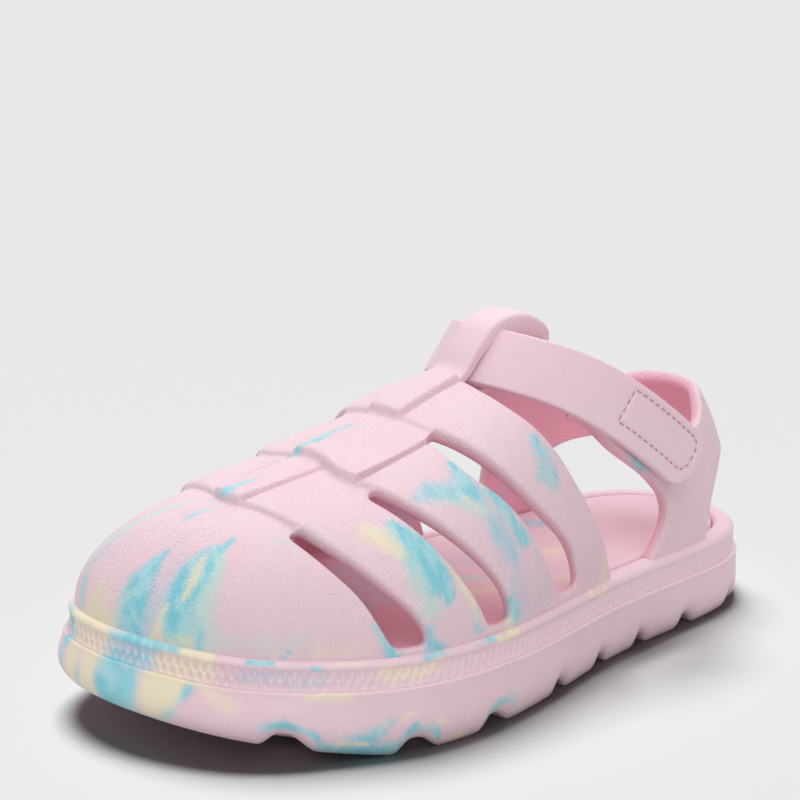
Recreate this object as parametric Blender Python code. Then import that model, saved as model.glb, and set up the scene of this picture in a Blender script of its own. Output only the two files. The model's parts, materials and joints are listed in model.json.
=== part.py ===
"""Child's moulded foam beach sandal, left foot.

Five solids: sole, hollow upper with its rim and keeper loop, insole, ankle strap and a fastening pad.
Sizes are in millimetres and become metres when a mesh is made. +X runs to the toe, +Y to the lateral side,
+Z up. The shoe stands on Z = 0.
"""

import bmesh
import bpy
import numpy as np

MILLIMETRE = 0.001
GAP = 0.3

# Middle of the sole seen from above, which becomes the origin.
SOLE_MIDDLE = np.array([-1.45, 0.25, 0.0])

# Outline of the sole's ledge seen from above, clockwise from the back of the heel.
LEDGE_OUTLINE = {
    "x": (-92.8, -89.6, -81.0, -66.0, -46.0, -28.0, -8.0, 12.0, 27.0, 40.0, 53.0, 65.0, 76.0,
          84.0, 88.3, 86.8, 79.5, 66.0, 50.0, 30.0, 8.0, -16.0, -45.0, -68.0, -83.0, -90.6),
    "y": (0.5, 12.8, 21.3, 25.3, 27.3, 30.2, 35.6, 40.0, 41.0, 39.2, 34.0, 27.2, 17.5,
          4.0, -11.0, -26.0, -35.0, -39.3, -40.0, -37.2, -32.0, -28.8, -28.3, -26.8, -20.5, -10.5),
}

# Heights along the shoe: the ledge, the rim above it, the ridge of the last and how square its section is.
LEDGE_HEIGHT = {"x": (-93, -40, 0, 26, 50, 70, 89), "z": (13.3, 13.5, 14.6, 15.6, 16.3, 17.9, 20.6)}
RIM_ABOVE_LEDGE = {"x": (-93, -40, 20, 89), "z": (7.2, 6.8, 6.5, 6.5)}
RIDGE = {
    "x": (-95, -62, -45, -30, -15, -2, 6, 22, 42, 58, 72, 85, 95),
    "y": (-0.5, -0.5, -0.4, -0.2, 0.0, 0.0, 0.0, 0.0, -1.2, -3.0, -3.5, -3.5, -3.5),
    "z": (69.0, 69.0, 76.5, 81.0, 78.0, 69.5, 67.0, 61.5, 55.5, 51.5, 48.0, 43.5, 40.0),
    "squareness": (2.0, 2.0, 2.1, 2.2, 2.25, 2.3, 2.3, 2.3, 2.3, 2.28, 2.25, 2.2, 2.2),
}
TOE_POLE_X = 62.0
HEEL_POLE_X = -62.0
TOE_SPRING_START_X = 44.0
TOE_SPRING = 9.8
TOE_SPRING_POWER = 1.15

# Sole: side profile as (offset from the ledge outline, share of the height), and the notches between lugs.
SOLE_SIDE = ((-2.2, 0.0), (-0.6, 0.1), (0.5, 0.42), (0.3, 0.86), (0.7, 0.96), (0.2, 1.0))
TOE_BULGE = 1.5
TOE_BULGE_X = (30.0, 84.0)
NOTCHES = {
    "x": (66.0, 39.5, 17.5, -7.0, -25.0, -41.5, -59.5, -80.0),
    "width": (13.0, 12.0, 11.0, 8.6, 8.2, 7.0, 8.3, 8.0),
}
NOTCH_PROFILE = {
    "share": (-0.62, -0.48, -0.30, -0.12, 0.12, 0.28, 0.42, 0.52),
    "z": (-2.0, 0.4, 2.4, 3.2, 3.2, 2.4, 0.4, -2.0),
}
NOTCH_REACH_OUT = 4.0
NOTCH_REACH_IN = 9.0

# Insole: side profile in the same terms, depth of its dish, and how far its edge lies below the rim.
INSOLE_SIDE = ((-6.2, 0.0), (-6.2, 0.75), (-6.8, 1.0))
INSOLE_DISH = 1.2
INSOLE_BELOW_RIM = 0.6

# Upper: wall, rim ring as (offset from the ledge outline, height above the ledge), and raised strips.
WALL = 3.5
STRAP_WALL = 2.6
WALL_INSET = 2.2
RING_SIDE = ((-0.9, GAP), (-1.2, 4.2), (-0.5, 5.1), (-1.1, 6.2))
STEP = 0.8
STRIP_EDGE = 0.07
BROAD_STRIP_EDGE = 0.235

# Strap edges: x against v, which is 0 on the ridge and 1 at the rim.
STRAP_EDGES = {
    "v": (0.0, 0.15, 0.30, 0.45, 0.60, 0.75, 0.90, 1.0),
    "toe_rear": (60.2, 58.6, 57.6, 55.4, 52.4, 48.6, 45.4, 42.7),
    "strap_1_front": (59.4, 57.0, 54.8, 52.2, 48.2, 43.2, 37.3, 34.6),
    "strap_1_rear": (37.8, 39.2, 37.6, 34.3, 30.5, 26.6, 21.9, 18.7),
    "strap_2_front": (37.0, 38.4, 35.3, 31.2, 26.2, 20.8, 15.0, 12.4),
    "strap_2_rear": (17.8, 17.2, 16.2, 13.6, 7.8, 1.8, -3.7, -7.2),
    "strap_3_front": (17.0, 15.8, 12.4, 8.2, 3.4, -3.0, -11.0, -14.4),
    "strap_3_rear": (-2.2, -2.6, -4.4, -7.8, -12.3, -18.6, -27.2, -31.5),
}
# How much further forward each edge ends at the medial rim, and the v from which it has all of that.
MEDIAL_SHIFT = (3.0, 4.9, 7.3, 8.1, 13.2, 13.9, 14.5)
MEDIAL_SHIFT_V = 0.85
MEDIAL_SHIFT_POWER = 1.3
GAP_TIPS = (0.36, 0.31, 0.22)
GAP_FOOT = 0.985
TIP_ROUND = 0.04
FOOT_ROUND = 0.05

# Height of each strap over the toe, front edge and rear edge, on its bands and on its raised strips.
STRAP_RISE = {"band": ((1.0, 0.5), (1.2, 0.6), (1.4, 0.6)), "strip": ((1.8, 1.0), (2.2, 1.2), (2.6, 1.8))}

# Quarters and heel band on each side: distances from the back of the heel along the rim, against height.
# The band's ends are tucked in under the ankle strap.
LATERAL_HEEL = {
    "quarter_z": (20.0, 23.0, 27.0, 31.5, 36.5),
    "quarter_front": (60.6, 57.5, 55.0, 53.3, 55.0),
    "quarter_rear": (37.4, 36.2, 35.3, 33.1, 28.2),
    "low_at": (0, 12, 20, 25, 28.2, 55, 57.3, 59.2, 62.6, 66, 69.2, 72.4, 74.6, 79, 83),
    "low": (39, 39.4, 39.2, 38.2, 36.5, 36.5, 39.4, 41.5, 44.3, 47.1, 49.7, 52.6, 54.6, 58, 60.2),
    "top_at": (0, 15, 22.5, 27.5, 32, 37, 42, 48, 56, 62, 68, 76, 81, 83),
    "top": (57, 57, 55.9, 53.5, 50.6, 48.8, 49.2, 51.2, 54.6, 57.2, 59.6, 62.2, 63.2, 62),
    "tuck_at": (60, 68, 76, 83),
    "tuck": (0.0, 0.5, 1.6, 2.8),
}
MEDIAL_HEEL = {
    "quarter_z": (20.0, 23.0, 27.0, 31.5, 36.5),
    "quarter_front": (77.0, 74.6, 73.0, 72.0, 71.8),
    "quarter_rear": (55.0, 54.6, 54.4, 53.2, 50.0),
    "low_at": (0, 20, 34, 44, 47, 50, 71.8, 72.6, 74.5, 78, 81, 83),
    "low": (39, 38.6, 38.2, 38, 37.6, 36.5, 36.5, 40.6, 45, 51, 56, 59.5),
    "top_at": (0, 15, 22.5, 27.5, 32, 48, 60, 68, 76, 81, 83),
    "top": (57, 56.6, 55.6, 54.6, 53.8, 53.6, 55.6, 58.5, 62.0, 63.4, 62.0),
    "tuck_at": (68, 72, 76, 83),
    "tuck": (0.0, 0.4, 1.2, 2.8),
}
WING_END = 83.0

# Keeper loop, its centre line in the XZ plane, clockwise from the front corner inside the wall.
KEEPER_LINE = {
    "x": (-0.6, -3.8, -7.0, -10.2, -12.8, -15.4, -19.0, -23.0, -27.2, -29.6, -28.6, -22.0, -12.0, -5.5),
    "z": (67.4, 69.9, 73.6, 77.5, 80.4, 82.0, 81.5, 79.8, 77.8, 75.4, 72.9, 70.0, 66.6, 64.6),
    "wall": (2.4, 2.4, 2.4, 2.4, 2.4, 2.6, 4.0, 5.2, 4.4, 3.4, 2.6, 2.4, 2.4, 2.4),
}
KEEPER_WIDTH = 10.4

# Ankle strap: its outer face in a plane across the strap, and the direction of its width.
STRAP_LINE = {
    "y": (-29.4, -29.6, -28.7, -25.5, -20.4, -14.2, -7.0, 0.0, 7.0, 14.0, 20.2, 25.1, 28.0, 28.8, 28.6),
    "u": (-17.0, -6.0, 6.0, 19.5, 30.0, 36.6, 39.4, 40.0, 38.6, 34.2, 27.0, 17.0, 5.0, -6.0, -17.5),
    "w": (69.0, 69.0, 68.7, 67.6, 65.8, 64.1, 63.4, 63.2, 63.9, 65.6, 67.8, 69.2, 69.8, 70.0, 70.0),
}
STRAP_RAKE = np.radians(39.7)
STRAP_WIDTH = 15.0
STRAP_THICK = 3.0
TAB_ROUND = 6.0
PAD_THICK = 0.8
PAD_LENGTH = 20.0
PAD_WIDTH = 10.4

OUTLINE_SAMPLES = 2880


def smooth_curve(table_x, table_y, x):
    """Cubic Hermite curve through a table, with slopes that never overshoot."""
    table_x = np.asarray(table_x, float)
    table_y = np.asarray(table_y, float)
    step = np.diff(table_x)
    slope = np.diff(table_y) / step
    product = slope[1:] * slope[:-1]
    inner = np.where(product > 0, 2 * product / (slope[1:] + slope[:-1] + 1e-12), 0)
    tangent = np.concatenate([slope[:1], inner, slope[-1:]])
    x = np.clip(x, table_x[0], table_x[-1])
    i = np.clip(np.searchsorted(table_x, x) - 1, 0, len(step) - 1)
    t = (x - table_x[i]) / step[i]
    start = (1 + 2 * t) * (1 - t) ** 2 * table_y[i] + t * (1 - t) ** 2 * step[i] * tangent[i]
    end = t ** 2 * (3 - 2 * t) * table_y[i + 1] + t ** 2 * (t - 1) * step[i] * tangent[i + 1]
    return start + end


def closed_spline(points, count):
    """Closed cubic spline through points, resampled at even steps along its length."""
    points = np.asarray(points, float)
    n = len(points)
    chord = np.linalg.norm(np.roll(points, -1, axis=0) - points, axis=1) ** 0.75
    rows = np.arange(n)
    before = np.roll(chord, 1)
    system = np.zeros((n, n))
    system[rows, rows] = 2 * (chord + before)
    system[rows, (rows - 1) % n] = chord
    system[rows, (rows + 1) % n] = before
    rise = (np.roll(points, -1, axis=0) - points) / chord[:, None]
    side = 3 * (before[:, None] * rise + chord[:, None] * np.roll(rise, 1, axis=0))
    tangent = np.linalg.solve(system, side)
    t = np.linspace(0, 1, 160, endpoint=False)[None, :, None]
    p0, p1 = points[:, None], np.roll(points, -1, axis=0)[:, None]
    m0 = (tangent * chord[:, None])[:, None]
    m1 = (np.roll(tangent, -1, axis=0) * chord[:, None])[:, None]
    dense = (p0 * (1 + 2 * t) * (1 - t) ** 2 + m0 * t * (1 - t) ** 2
             + p1 * t ** 2 * (3 - 2 * t) + m1 * t ** 2 * (t - 1)).reshape(-1, points.shape[1])
    ring = np.vstack([dense, dense[:1]])
    length = np.concatenate([[0], np.cumsum(np.linalg.norm(np.diff(ring, axis=0), axis=1))])
    at = np.linspace(0, length[-1], count, endpoint=False)
    return np.stack([np.interp(at, length, ring[:, k]) for k in range(points.shape[1])], axis=1)


class Outline:
    """The ledge outline with its outward normals, read by distance from the back of the heel."""

    def __init__(self):
        raw = closed_spline(np.column_stack([LEDGE_OUTLINE["x"], LEDGE_OUTLINE["y"]]), OUTLINE_SAMPLES)
        raw = np.roll(raw, -np.argmin(raw[:, 0]), axis=0)
        self.points = raw
        along = np.roll(raw, -1, axis=0) - np.roll(raw, 1, axis=0)
        along /= np.linalg.norm(along, axis=1)[:, None]
        self.normals = np.column_stack([-along[:, 1], along[:, 0]])
        self.length = np.linalg.norm(np.roll(raw, -1, axis=0) - raw, axis=1).sum()
        self.toe = np.argmax(raw[:, 0])

    def at(self, s, offset=0.0):
        """Plan points at distances s from the back of the heel, moved out by offset."""
        k = np.asarray(s, float) / self.length * OUTLINE_SAMPLES
        i = np.floor(k).astype(int)
        t = (k - i)[..., None]
        a, b = i % OUTLINE_SAMPLES, (i + 1) % OUTLINE_SAMPLES
        offset = np.asarray(offset)[..., None]
        return ((self.points[a] + self.normals[a] * offset) * (1 - t)
                + (self.points[b] + self.normals[b] * offset) * t)

    def station(self, x, lateral, offset=0.0):
        """Distance s at which the outline, moved out by offset, passes x on one side of the shoe."""
        first, last = (0, self.toe) if lateral else (self.toe, OUTLINE_SAMPLES)
        index = np.arange(first, last + 1)
        s = index * self.length / OUTLINE_SAMPLES
        run = self.at(s, np.full(len(s), offset))[:, 0]
        order = slice(None) if lateral else slice(None, None, -1)
        return np.interp(x, run[order], s[order])


OUTLINE = Outline()


def ledge_height(x):
    return smooth_curve(LEDGE_HEIGHT["x"], LEDGE_HEIGHT["z"], x)


def rim_height(x):
    return ledge_height(x) + smooth_curve(RIM_ABOVE_LEDGE["x"], RIM_ABOVE_LEDGE["z"], x)


def bottom_height(x):
    share = np.clip((x - TOE_SPRING_START_X) / (89.0 - TOE_SPRING_START_X), 0, None)
    return TOE_SPRING * share ** TOE_SPRING_POWER


def rib(s, f, grow):
    """Points of the last: the rib from station s on the rim to the ridge, at angle f, grown outwards.

    Seen from above a rib is straight, and its height follows a superellipse. Between the poles it lies square
    across the shoe, and around the toe and the heel it turns about the pole.
    """
    base = OUTLINE.at(s, np.full(np.shape(s), -WALL_INSET))
    foot_x = np.clip(base[..., 0], HEEL_POLE_X, TOE_POLE_X)
    foot = np.stack([foot_x, smooth_curve(RIDGE["x"], RIDGE["y"], foot_x)], axis=-1)
    reach = np.linalg.norm(base - foot, axis=-1)
    heading = (base - foot) / reach[..., None]
    power = smooth_curve(RIDGE["x"], RIDGE["squareness"], base[..., 0])
    plan = foot + heading * ((reach + grow) * np.cos(f) ** (2 / power))[..., None]
    low = rim_height(base[..., 0])
    high = smooth_curve(RIDGE["x"], RIDGE["z"], plan[..., 0]) + grow
    return np.concatenate([plan, (low + (high - low) * np.sin(f) ** (2 / power))[..., None]], axis=-1)


def rise_angle(s, z):
    """Angle on the rib at station s where the last reaches height z."""
    base = OUTLINE.at(s, np.full(np.shape(s), -WALL_INSET))
    low = rim_height(base[..., 0])
    power = smooth_curve(RIDGE["x"], RIDGE["squareness"], base[..., 0])
    high = smooth_curve(RIDGE["x"], RIDGE["z"], base[..., 0])
    return np.arcsin(np.clip((z - low) / (high - low), 0, 1) ** (power / 2))


class Wall:
    """A closed wall: an outer and an inner point for each node, cells over them, and rims at its ends."""

    def __init__(self):
        self.outer = np.zeros((0, 3))
        self.inner = np.zeros((0, 3))
        self.cells = []

    def nodes(self, outer, inner):
        """Add nodes and return their numbers in the shape of the grid."""
        shape = outer.shape[:-1]
        first = len(self.outer)
        self.outer = np.vstack([self.outer, outer.reshape(-1, 3)])
        self.inner = np.vstack([self.inner, inner.reshape(-1, 3)])
        return first + np.arange(int(np.prod(shape))).reshape(shape)

    def grid(self, ids, keep=None):
        """Add the cells of a grid of nodes, apart from those that keep leaves out."""
        corners = np.stack([ids[:-1, :-1], ids[1:, :-1], ids[1:, 1:], ids[:-1, 1:]], axis=-1)
        chosen = corners.reshape(-1, 4) if keep is None else corners[keep]
        self.cells += [tuple(dict.fromkeys(cell)) for cell in chosen.tolist()]

    def mesh(self):
        """Vertices and faces of both sheets and of the rims between them."""
        count = len(self.outer)
        faces = list(self.cells)
        faces += [tuple(n + count for n in reversed(cell)) for cell in self.cells]
        edges = {}
        for cell in self.cells:
            for a, b in zip(cell, cell[1:] + cell[:1]):
                edges.setdefault((min(a, b), max(a, b)), []).append((a, b))
        for uses in edges.values():
            if len(uses) == 1:
                a, b = uses[0]
                faces.append((b, a, a + count, b + count))
        return np.vstack([self.outer, self.inner]), faces


def add_solid(name, vertices, faces, material):
    """One closed object from millimetre points, with unused points dropped and its faces pointing out."""
    mesh = bpy.data.meshes.new(name)
    shape = bmesh.new()
    points = [shape.verts.new((p - SOLE_MIDDLE) * MILLIMETRE) for p in np.asarray(vertices, float)]
    for face in faces:
        shape.faces.new([points[k] for k in face])
    bmesh.ops.delete(shape, geom=[p for p in shape.verts if not p.link_faces], context="VERTS")
    bmesh.ops.recalc_face_normals(shape, faces=shape.faces)
    shape.to_mesh(mesh)
    shape.free()
    mesh.shade_smooth()
    mesh.set_sharp_from_angle(angle=np.radians(40))
    part = bpy.data.objects.new(name, mesh)
    bpy.context.collection.objects.link(part)
    part.data.materials.append(material)
    return part


def foam(name, colour, roughness):
    """A matte foam material."""
    material = bpy.data.materials.new(name)
    material.use_nodes = True
    shader = material.node_tree.nodes["Principled BSDF"]
    shader.inputs["Base Color"].default_value = (*colour, 1.0)
    shader.inputs["Roughness"].default_value = roughness
    shader.inputs["Metallic"].default_value = 0.0
    return material


def boolean(target, tool, operation):
    """Join or cut target with a hidden tool object."""
    tool.hide_render = True
    tool.display_type = "WIRE"
    change = target.modifiers.new(tool.name, "BOOLEAN")
    change.operation = operation
    change.solver = "EXACT"
    change.object = tool


def strap_edges(v, medial):
    """Edges of toe and straps at v on one side, with the gaps' round ends, in order from the toe back."""
    names = [name for name in STRAP_EDGES if name != "v"]
    ease = np.minimum(v / MEDIAL_SHIFT_V, 1) ** MEDIAL_SHIFT_POWER * medial
    raw = [smooth_curve(STRAP_EDGES["v"], STRAP_EDGES[name], v) + ease * shift
           for name, shift in zip(names, MEDIAL_SHIFT)]
    for k, tip in enumerate(GAP_TIPS):
        ahead, behind = raw[2 * k], raw[2 * k + 1]
        into = np.clip((v - tip) / TIP_ROUND, 0, 1)
        left = np.clip((GAP_FOOT - v) / FOOT_ROUND, 0, 1)
        closing = np.sqrt(1 - (1 - into) ** 2) * np.sqrt(1 - (1 - left) ** 2)
        width = np.maximum(STEP, (ahead - behind) * closing)
        raw[2 * k + 1] = behind + np.clip((v - 0.6) / 0.3, 0, 0.5) * (ahead - behind - width)
        raw[2 * k] = raw[2 * k + 1] + width
    return raw


def front_grid(v):
    """Columns of the front of the upper for each row v: x, gap cells and height over the toe's surface."""
    size = np.abs(v)
    edges = strap_edges(size, v < 0)
    toe = [TOE_POLE_X + (edges[0] - TOE_POLE_X) * share for share in np.linspace(0, 1, 4)]
    columns, rises = toe, [np.zeros(len(v))] * len(toe)
    on_strip = [size < STRIP_EDGE, (v > -STRIP_EDGE) & (v < BROAD_STRIP_EDGE), size < STRIP_EDGE]
    for k in range(3):
        front, rear = edges[2 * k + 1], edges[2 * k + 2]
        band, strip = STRAP_RISE["band"][k], STRAP_RISE["strip"][k]
        for share in (0.0, 1 / 3, 2 / 3, 1.0):
            columns = columns + [front + (rear - front) * share]
            level = [high + (low - high) * share for high, low in (band, strip)]
            fade = np.clip((1.0 - size) / 0.12, 0, 1)
            rises = rises + [np.where(on_strip[k], level[1], level[0]) * fade]
    return np.array(columns), np.array(rises)


def row_values():
    """Rows of the front of the upper from the medial rim over the ridge to the lateral rim."""
    side = [0.035, STRIP_EDGE - 0.008, STRIP_EDGE + 0.008, 0.15, GAP_TIPS[2], BROAD_STRIP_EDGE - 0.008,
            BROAD_STRIP_EDGE + 0.008, 0.275, GAP_TIPS[1], 0.33, GAP_TIPS[0], 0.375, 0.41, 0.48, 0.56, 0.64,
            0.72, 0.80, 0.87, 0.92, 0.95, 0.97, GAP_FOOT]
    side = np.sort(np.array(side))
    return np.concatenate([[-1], -side[::-1], [0], side, [1]])


def quarter_feet(heel):
    """Distances of the quarter's columns at its foot, from its rear to its front edge."""
    return np.linspace(heel["quarter_rear"][0], heel["quarter_front"][0], 6)


def heel_columns(heel):
    """Distances of one side's heel band columns from the back, with a column over each of the quarter's."""
    rear, ahead = heel["quarter_rear"][-1], heel["quarter_front"][-1]
    stretches = np.linspace(0, rear, 7), np.linspace(rear, ahead, 6), np.linspace(ahead, WING_END, 6)
    return np.concatenate([part[1:] for part in stretches])


def build_upper(material, tool_material):
    """The upper: rim ring, toe, straps, quarters and heel band as one wall, joined to the keeper loop."""
    wall = Wall()
    rows = row_values()
    columns, rises = front_grid(rows)
    last = len(rows) - 1
    lateral_foot = OUTLINE.station(columns[:, last], True, -WALL_INSET)
    medial_foot = OUTLINE.station(columns[:, 0], False, -WALL_INSET)
    toe_feet = np.linspace(lateral_foot[0], medial_foot[0], 19)
    lateral_quarter = quarter_feet(LATERAL_HEEL)
    medial_quarter = OUTLINE.length - quarter_feet(MEDIAL_HEEL)
    round_trip = lateral_quarter[0] + OUTLINE.length
    stretches = [
        lateral_quarter,
        np.linspace(lateral_quarter[-1], lateral_foot[-1], 4)[1:-1],
        lateral_foot[::-1],
        toe_feet[1:-1],
        medial_foot,
        np.linspace(medial_foot[-1], medial_quarter[-1], 4)[1:-1],
        medial_quarter[::-1],
        np.linspace(medial_quarter[0], round_trip, 14)[1:-1],
    ]
    starts = np.concatenate([[0], np.cumsum([len(part) for part in stretches])])
    stations = np.concatenate(stretches)

    # Rim ring, from its underside on the ledge up to the foot of the wall.
    flat = np.zeros(len(stations))
    foot_outer, foot_inner = rib(stations, flat, flat), rib(stations, flat, flat - WALL)
    levels = []
    for offset, above in RING_SIDE:
        plan = OUTLINE.at(stations, np.full(len(stations), offset))
        height = ledge_height(plan[:, 0]) + above
        inside = np.column_stack([foot_inner[:, :2], height])
        levels.append(wall.nodes(np.column_stack([plan, height]), inside))
    levels.append(wall.nodes(foot_outer, foot_inner))
    ring = np.array(levels)
    ring = np.concatenate([ring, ring[:, :1]], axis=1)
    wall.grid(ring)
    feet = [ring[-1][a:b] for a, b in zip(starts[:-1], starts[1:])]

    # Front: toe back to the third strap, from rim to rim over the ridge.
    side = rows[None, 1:-1] >= 0
    x = columns[:, 1:-1]
    stand = np.where(side, OUTLINE.station(x, True, -WALL_INSET), OUTLINE.station(x, False, -WALL_INSET))
    angle = np.broadcast_to((1 - np.abs(rows[None, 1:-1])) * np.pi / 2, x.shape)
    middle = wall.nodes(rib(stand, angle, rises[:, 1:-1]), rib(stand, angle, np.full(x.shape, -STRAP_WALL)))
    front = np.concatenate([feet[4][:, None], middle, feet[2][::-1][:, None]], axis=1)
    keep = np.ones((front.shape[0] - 1, front.shape[1] - 1), bool)
    pairs = np.sort(np.abs(np.stack([rows[:-1], rows[1:]])), axis=0)
    for k, tip in enumerate(GAP_TIPS):
        keep[3 + 4 * k] = ~((pairs[0] > tip - 1e-6) & (pairs[1] < GAP_FOOT + 1e-6))
    wall.grid(front, keep)

    # Toe: ribs turned about the pole, sharing the first column of the front.
    centre = last // 2
    inner_rows = rows[centre + 1:-1][::-1]
    toe_s = np.broadcast_to(toe_feet[1:-1, None], (len(toe_feet) - 2, len(inner_rows)))
    toe_f = np.broadcast_to((1 - inner_rows) * np.pi / 2, toe_s.shape)
    body = wall.nodes(rib(toe_s, toe_f, np.zeros(toe_s.shape)),
                      rib(toe_s, toe_f, np.full(toe_s.shape, -STRAP_WALL)))
    body = np.concatenate([feet[3][:, None], body], axis=1)
    lateral_seam, medial_seam = front[0, centre + 1:][::-1], front[0, :centre]
    fan = np.concatenate([lateral_seam[None], body, medial_seam[None]], axis=0)
    pole = np.full((len(fan), 1), front[0, centre])
    wall.grid(np.concatenate([fan, pole], axis=1))

    # Heel band and its two quarters.
    lateral_half, medial_half = heel_columns(LATERAL_HEEL), heel_columns(MEDIAL_HEEL)
    along = np.concatenate([-medial_half[::-1], [0], lateral_half])
    bottom, top, tuck = (
        np.where(along < 0, smooth_curve(MEDIAL_HEEL[key + "_at"], MEDIAL_HEEL[key], -along),
                 smooth_curve(LATERAL_HEEL[key + "_at"], LATERAL_HEEL[key], along))[:, None]
        for key in ("low", "top", "tuck"))
    rise = np.linspace(0, 1, 4)[None]
    band_s = np.broadcast_to(along[:, None], (len(along), 4))
    band_f = rise_angle(band_s, bottom + (top - bottom) * rise)
    tuck = np.repeat(tuck, 4, axis=1)
    band = wall.nodes(rib(band_s, band_f, -tuck), rib(band_s, band_f, -tuck - WALL))
    wall.grid(band)
    levels = np.linspace(0, 1, 6)[1:-1]
    share = np.linspace(0, 1, 6)[:, None]
    for sign, heel, foot in ((1, LATERAL_HEEL, feet[0]), (-1, MEDIAL_HEEL, feet[6][::-1])):
        base = rim_height(OUTLINE.at(sign * quarter_feet(heel))[:, 0])[:, None]
        z = base + (heel["quarter_z"][-1] - base) * levels
        back = smooth_curve(heel["quarter_z"], heel["quarter_rear"], z)
        fore = smooth_curve(heel["quarter_z"], heel["quarter_front"], z)
        post_s = sign * (back + (fore - back) * share)
        post_f = rise_angle(post_s, z)
        post = wall.nodes(rib(post_s, post_f, np.zeros(z.shape)),
                          rib(post_s, post_f, np.full(z.shape, -WALL)))
        pick = len(medial_half) + sign * np.arange(6, 12)
        wall.grid(np.concatenate([foot[:, None], post, band[pick, 0][:, None]], axis=1))

    upper = add_solid("upper", *wall.mesh(), material)
    boolean(upper, build_keeper(tool_material), "UNION")
    return upper


def build_keeper(material):
    """The keeper loop: a flat band carried round a closed line, square across the shoe."""
    line, wall = np.split(closed_spline(np.column_stack(list(KEEPER_LINE.values())), 28), [2], axis=1)
    along = np.roll(line, -1, axis=0) - np.roll(line, 1, axis=0)
    along /= np.linalg.norm(along, axis=1)[:, None]
    normal = np.column_stack([-along[:, 1], along[:, 0]])
    half, edge = KEEPER_WIDTH / 2, 0.7
    section = ((half, -1, edge), (half, 1, edge), (half - edge, 1, 0), (-half + edge, 1, 0), (-half, 1, edge),
               (-half, -1, edge), (-half + edge, -1, 0), (half - edge, -1, 0))
    sides = []
    for y, sign, cut in section:
        plan = line + normal * sign * (wall / 2 - cut)
        sides.append(np.column_stack([plan[:, 0], np.full(len(line), y), plan[:, 1]]))
    points = np.array(sides)
    count, around = len(line), len(section)
    faces = [(a * count + k, a * count + (k + 1) % count, (a + 1) % around * count + (k + 1) % count,
              (a + 1) % around * count + k) for a in range(around) for k in range(count)]
    return add_solid("keeper_tool", points.reshape(-1, 3), faces, material)


def stations_by_x(count):
    """Matching stations of the two sides, closer together at toe and heel."""
    share = (1 - np.cos(np.linspace(0, np.pi, count + 2)[1:-1])) / 2
    first, last = OUTLINE.points[0, 0], OUTLINE.points[OUTLINE.toe, 0]
    x = first + (last - first) * share
    return OUTLINE.station(x, True), OUTLINE.station(x, False)


def plate(side, count, columns, dish, low, high, bulge=0.0):
    """A closed plate inside the outline: a side profile lofted round it, with strips across its two faces.

    The side swells out by the bulge round the toe, most at half height.
    """
    lateral, medial = stations_by_x(count)
    ends = np.array([0, OUTLINE.toe]) * OUTLINE.length / OUTLINE_SAMPLES
    loop = np.concatenate([ends[:1], lateral, ends[1:], medial[::-1]])
    size = len(loop)
    vertices, faces = [], []
    for offset, share in side:
        toe = np.clip((OUTLINE.at(loop)[:, 0] - TOE_BULGE_X[0]) / (TOE_BULGE_X[1] - TOE_BULGE_X[0]), 0, 1)
        swell = bulge * toe ** 2 * (3 - 2 * toe) * np.sin(np.pi * (0.12 + 0.88 * share))
        plan = OUTLINE.at(loop, offset + swell)
        z = low(plan[:, 0]) * (1 - share) + high(plan[:, 0]) * share
        vertices.append(np.column_stack([plan, z]))
    for level in range(len(side) - 1):
        for k in range(size):
            n = (k + 1) % size
            faces.append((level * size + k, level * size + n, (level + 1) * size + n, (level + 1) * size + k))
    for level, height in ((0, low), (len(side) - 1, high)):
        first = sum(len(part) for part in vertices)
        ring = vertices[level]
        share = np.linspace(0, 1, columns + 2)[1:-1]
        left, right = ring[1:count + 1], ring[:count + 1:-1]
        inner = left[:, None] * (1 - share[:, None]) + right[:, None] * share[:, None]
        inner[..., 2] = height(inner[..., 0]) - dish * (1 - (2 * share - 1) ** 2) * (level > 0)
        vertices.append(inner.reshape(-1, 3))
        ids = first + np.arange(count * columns).reshape(count, columns)
        k = np.arange(count)[:, None]
        strip = np.concatenate([level * size + 1 + k, ids, level * size + size - 1 - k], axis=1)
        for a, b in zip(strip[:-1].tolist(), strip[1:].tolist()):
            faces += [(a[j], a[j + 1], b[j + 1], b[j]) for j in range(len(a) - 1)]
        for end, row in ((level * size, strip[0]), (level * size + count + 1, strip[-1])):
            faces += [(end, row[j], row[j + 1]) for j in range(len(row) - 1)]
    return np.vstack(vertices), faces


def build_sole(material, tool_material):
    """The sole with its side profile and toe spring, notched between the lugs."""
    sole = add_solid("sole", *plate(SOLE_SIDE, 38, 2, 0.0, bottom_height, ledge_height, TOE_BULGE), material)
    boolean(sole, build_notches(tool_material), "DIFFERENCE")
    return sole


def build_notches(material):
    """Wedges that cut the notches between the lugs, square to the outline on both sides."""
    share, z = np.array(NOTCH_PROFILE["share"]), np.array(NOTCH_PROFILE["z"])
    vertices, faces = [], []
    for lateral in (True, False):
        for x, width in zip(NOTCHES["x"], NOTCHES["width"]):
            along = share * width
            s = OUTLINE.station(x, lateral)
            point, outer = OUTLINE.at(s), OUTLINE.at(s, NOTCH_REACH_OUT)
            out = (outer - point) / NOTCH_REACH_OUT
            back = np.array([out[1], -out[0]]) * (-1 if lateral else 1)
            first = len(vertices) * len(share)
            for reach, taper in ((NOTCH_REACH_OUT, 1.0), (-NOTCH_REACH_IN, 0.7)):
                plan = point + out * reach + back * (along * taper)[:, None]
                height = bottom_height(point[0]) + np.where(z > 0, z * taper, z)
                vertices.append(np.column_stack([plan, height]))
            n = len(share)
            corners = [(first + k, first + (k + 1) % n) for k in range(n)]
            faces += [(a, b, b + n, a + n) for a, b in corners]
            faces += [tuple(range(first, first + n)), tuple(range(first + 2 * n - 1, first + n - 1, -1))]
    return add_solid("notch_tool", np.vstack(vertices), faces, material)


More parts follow.
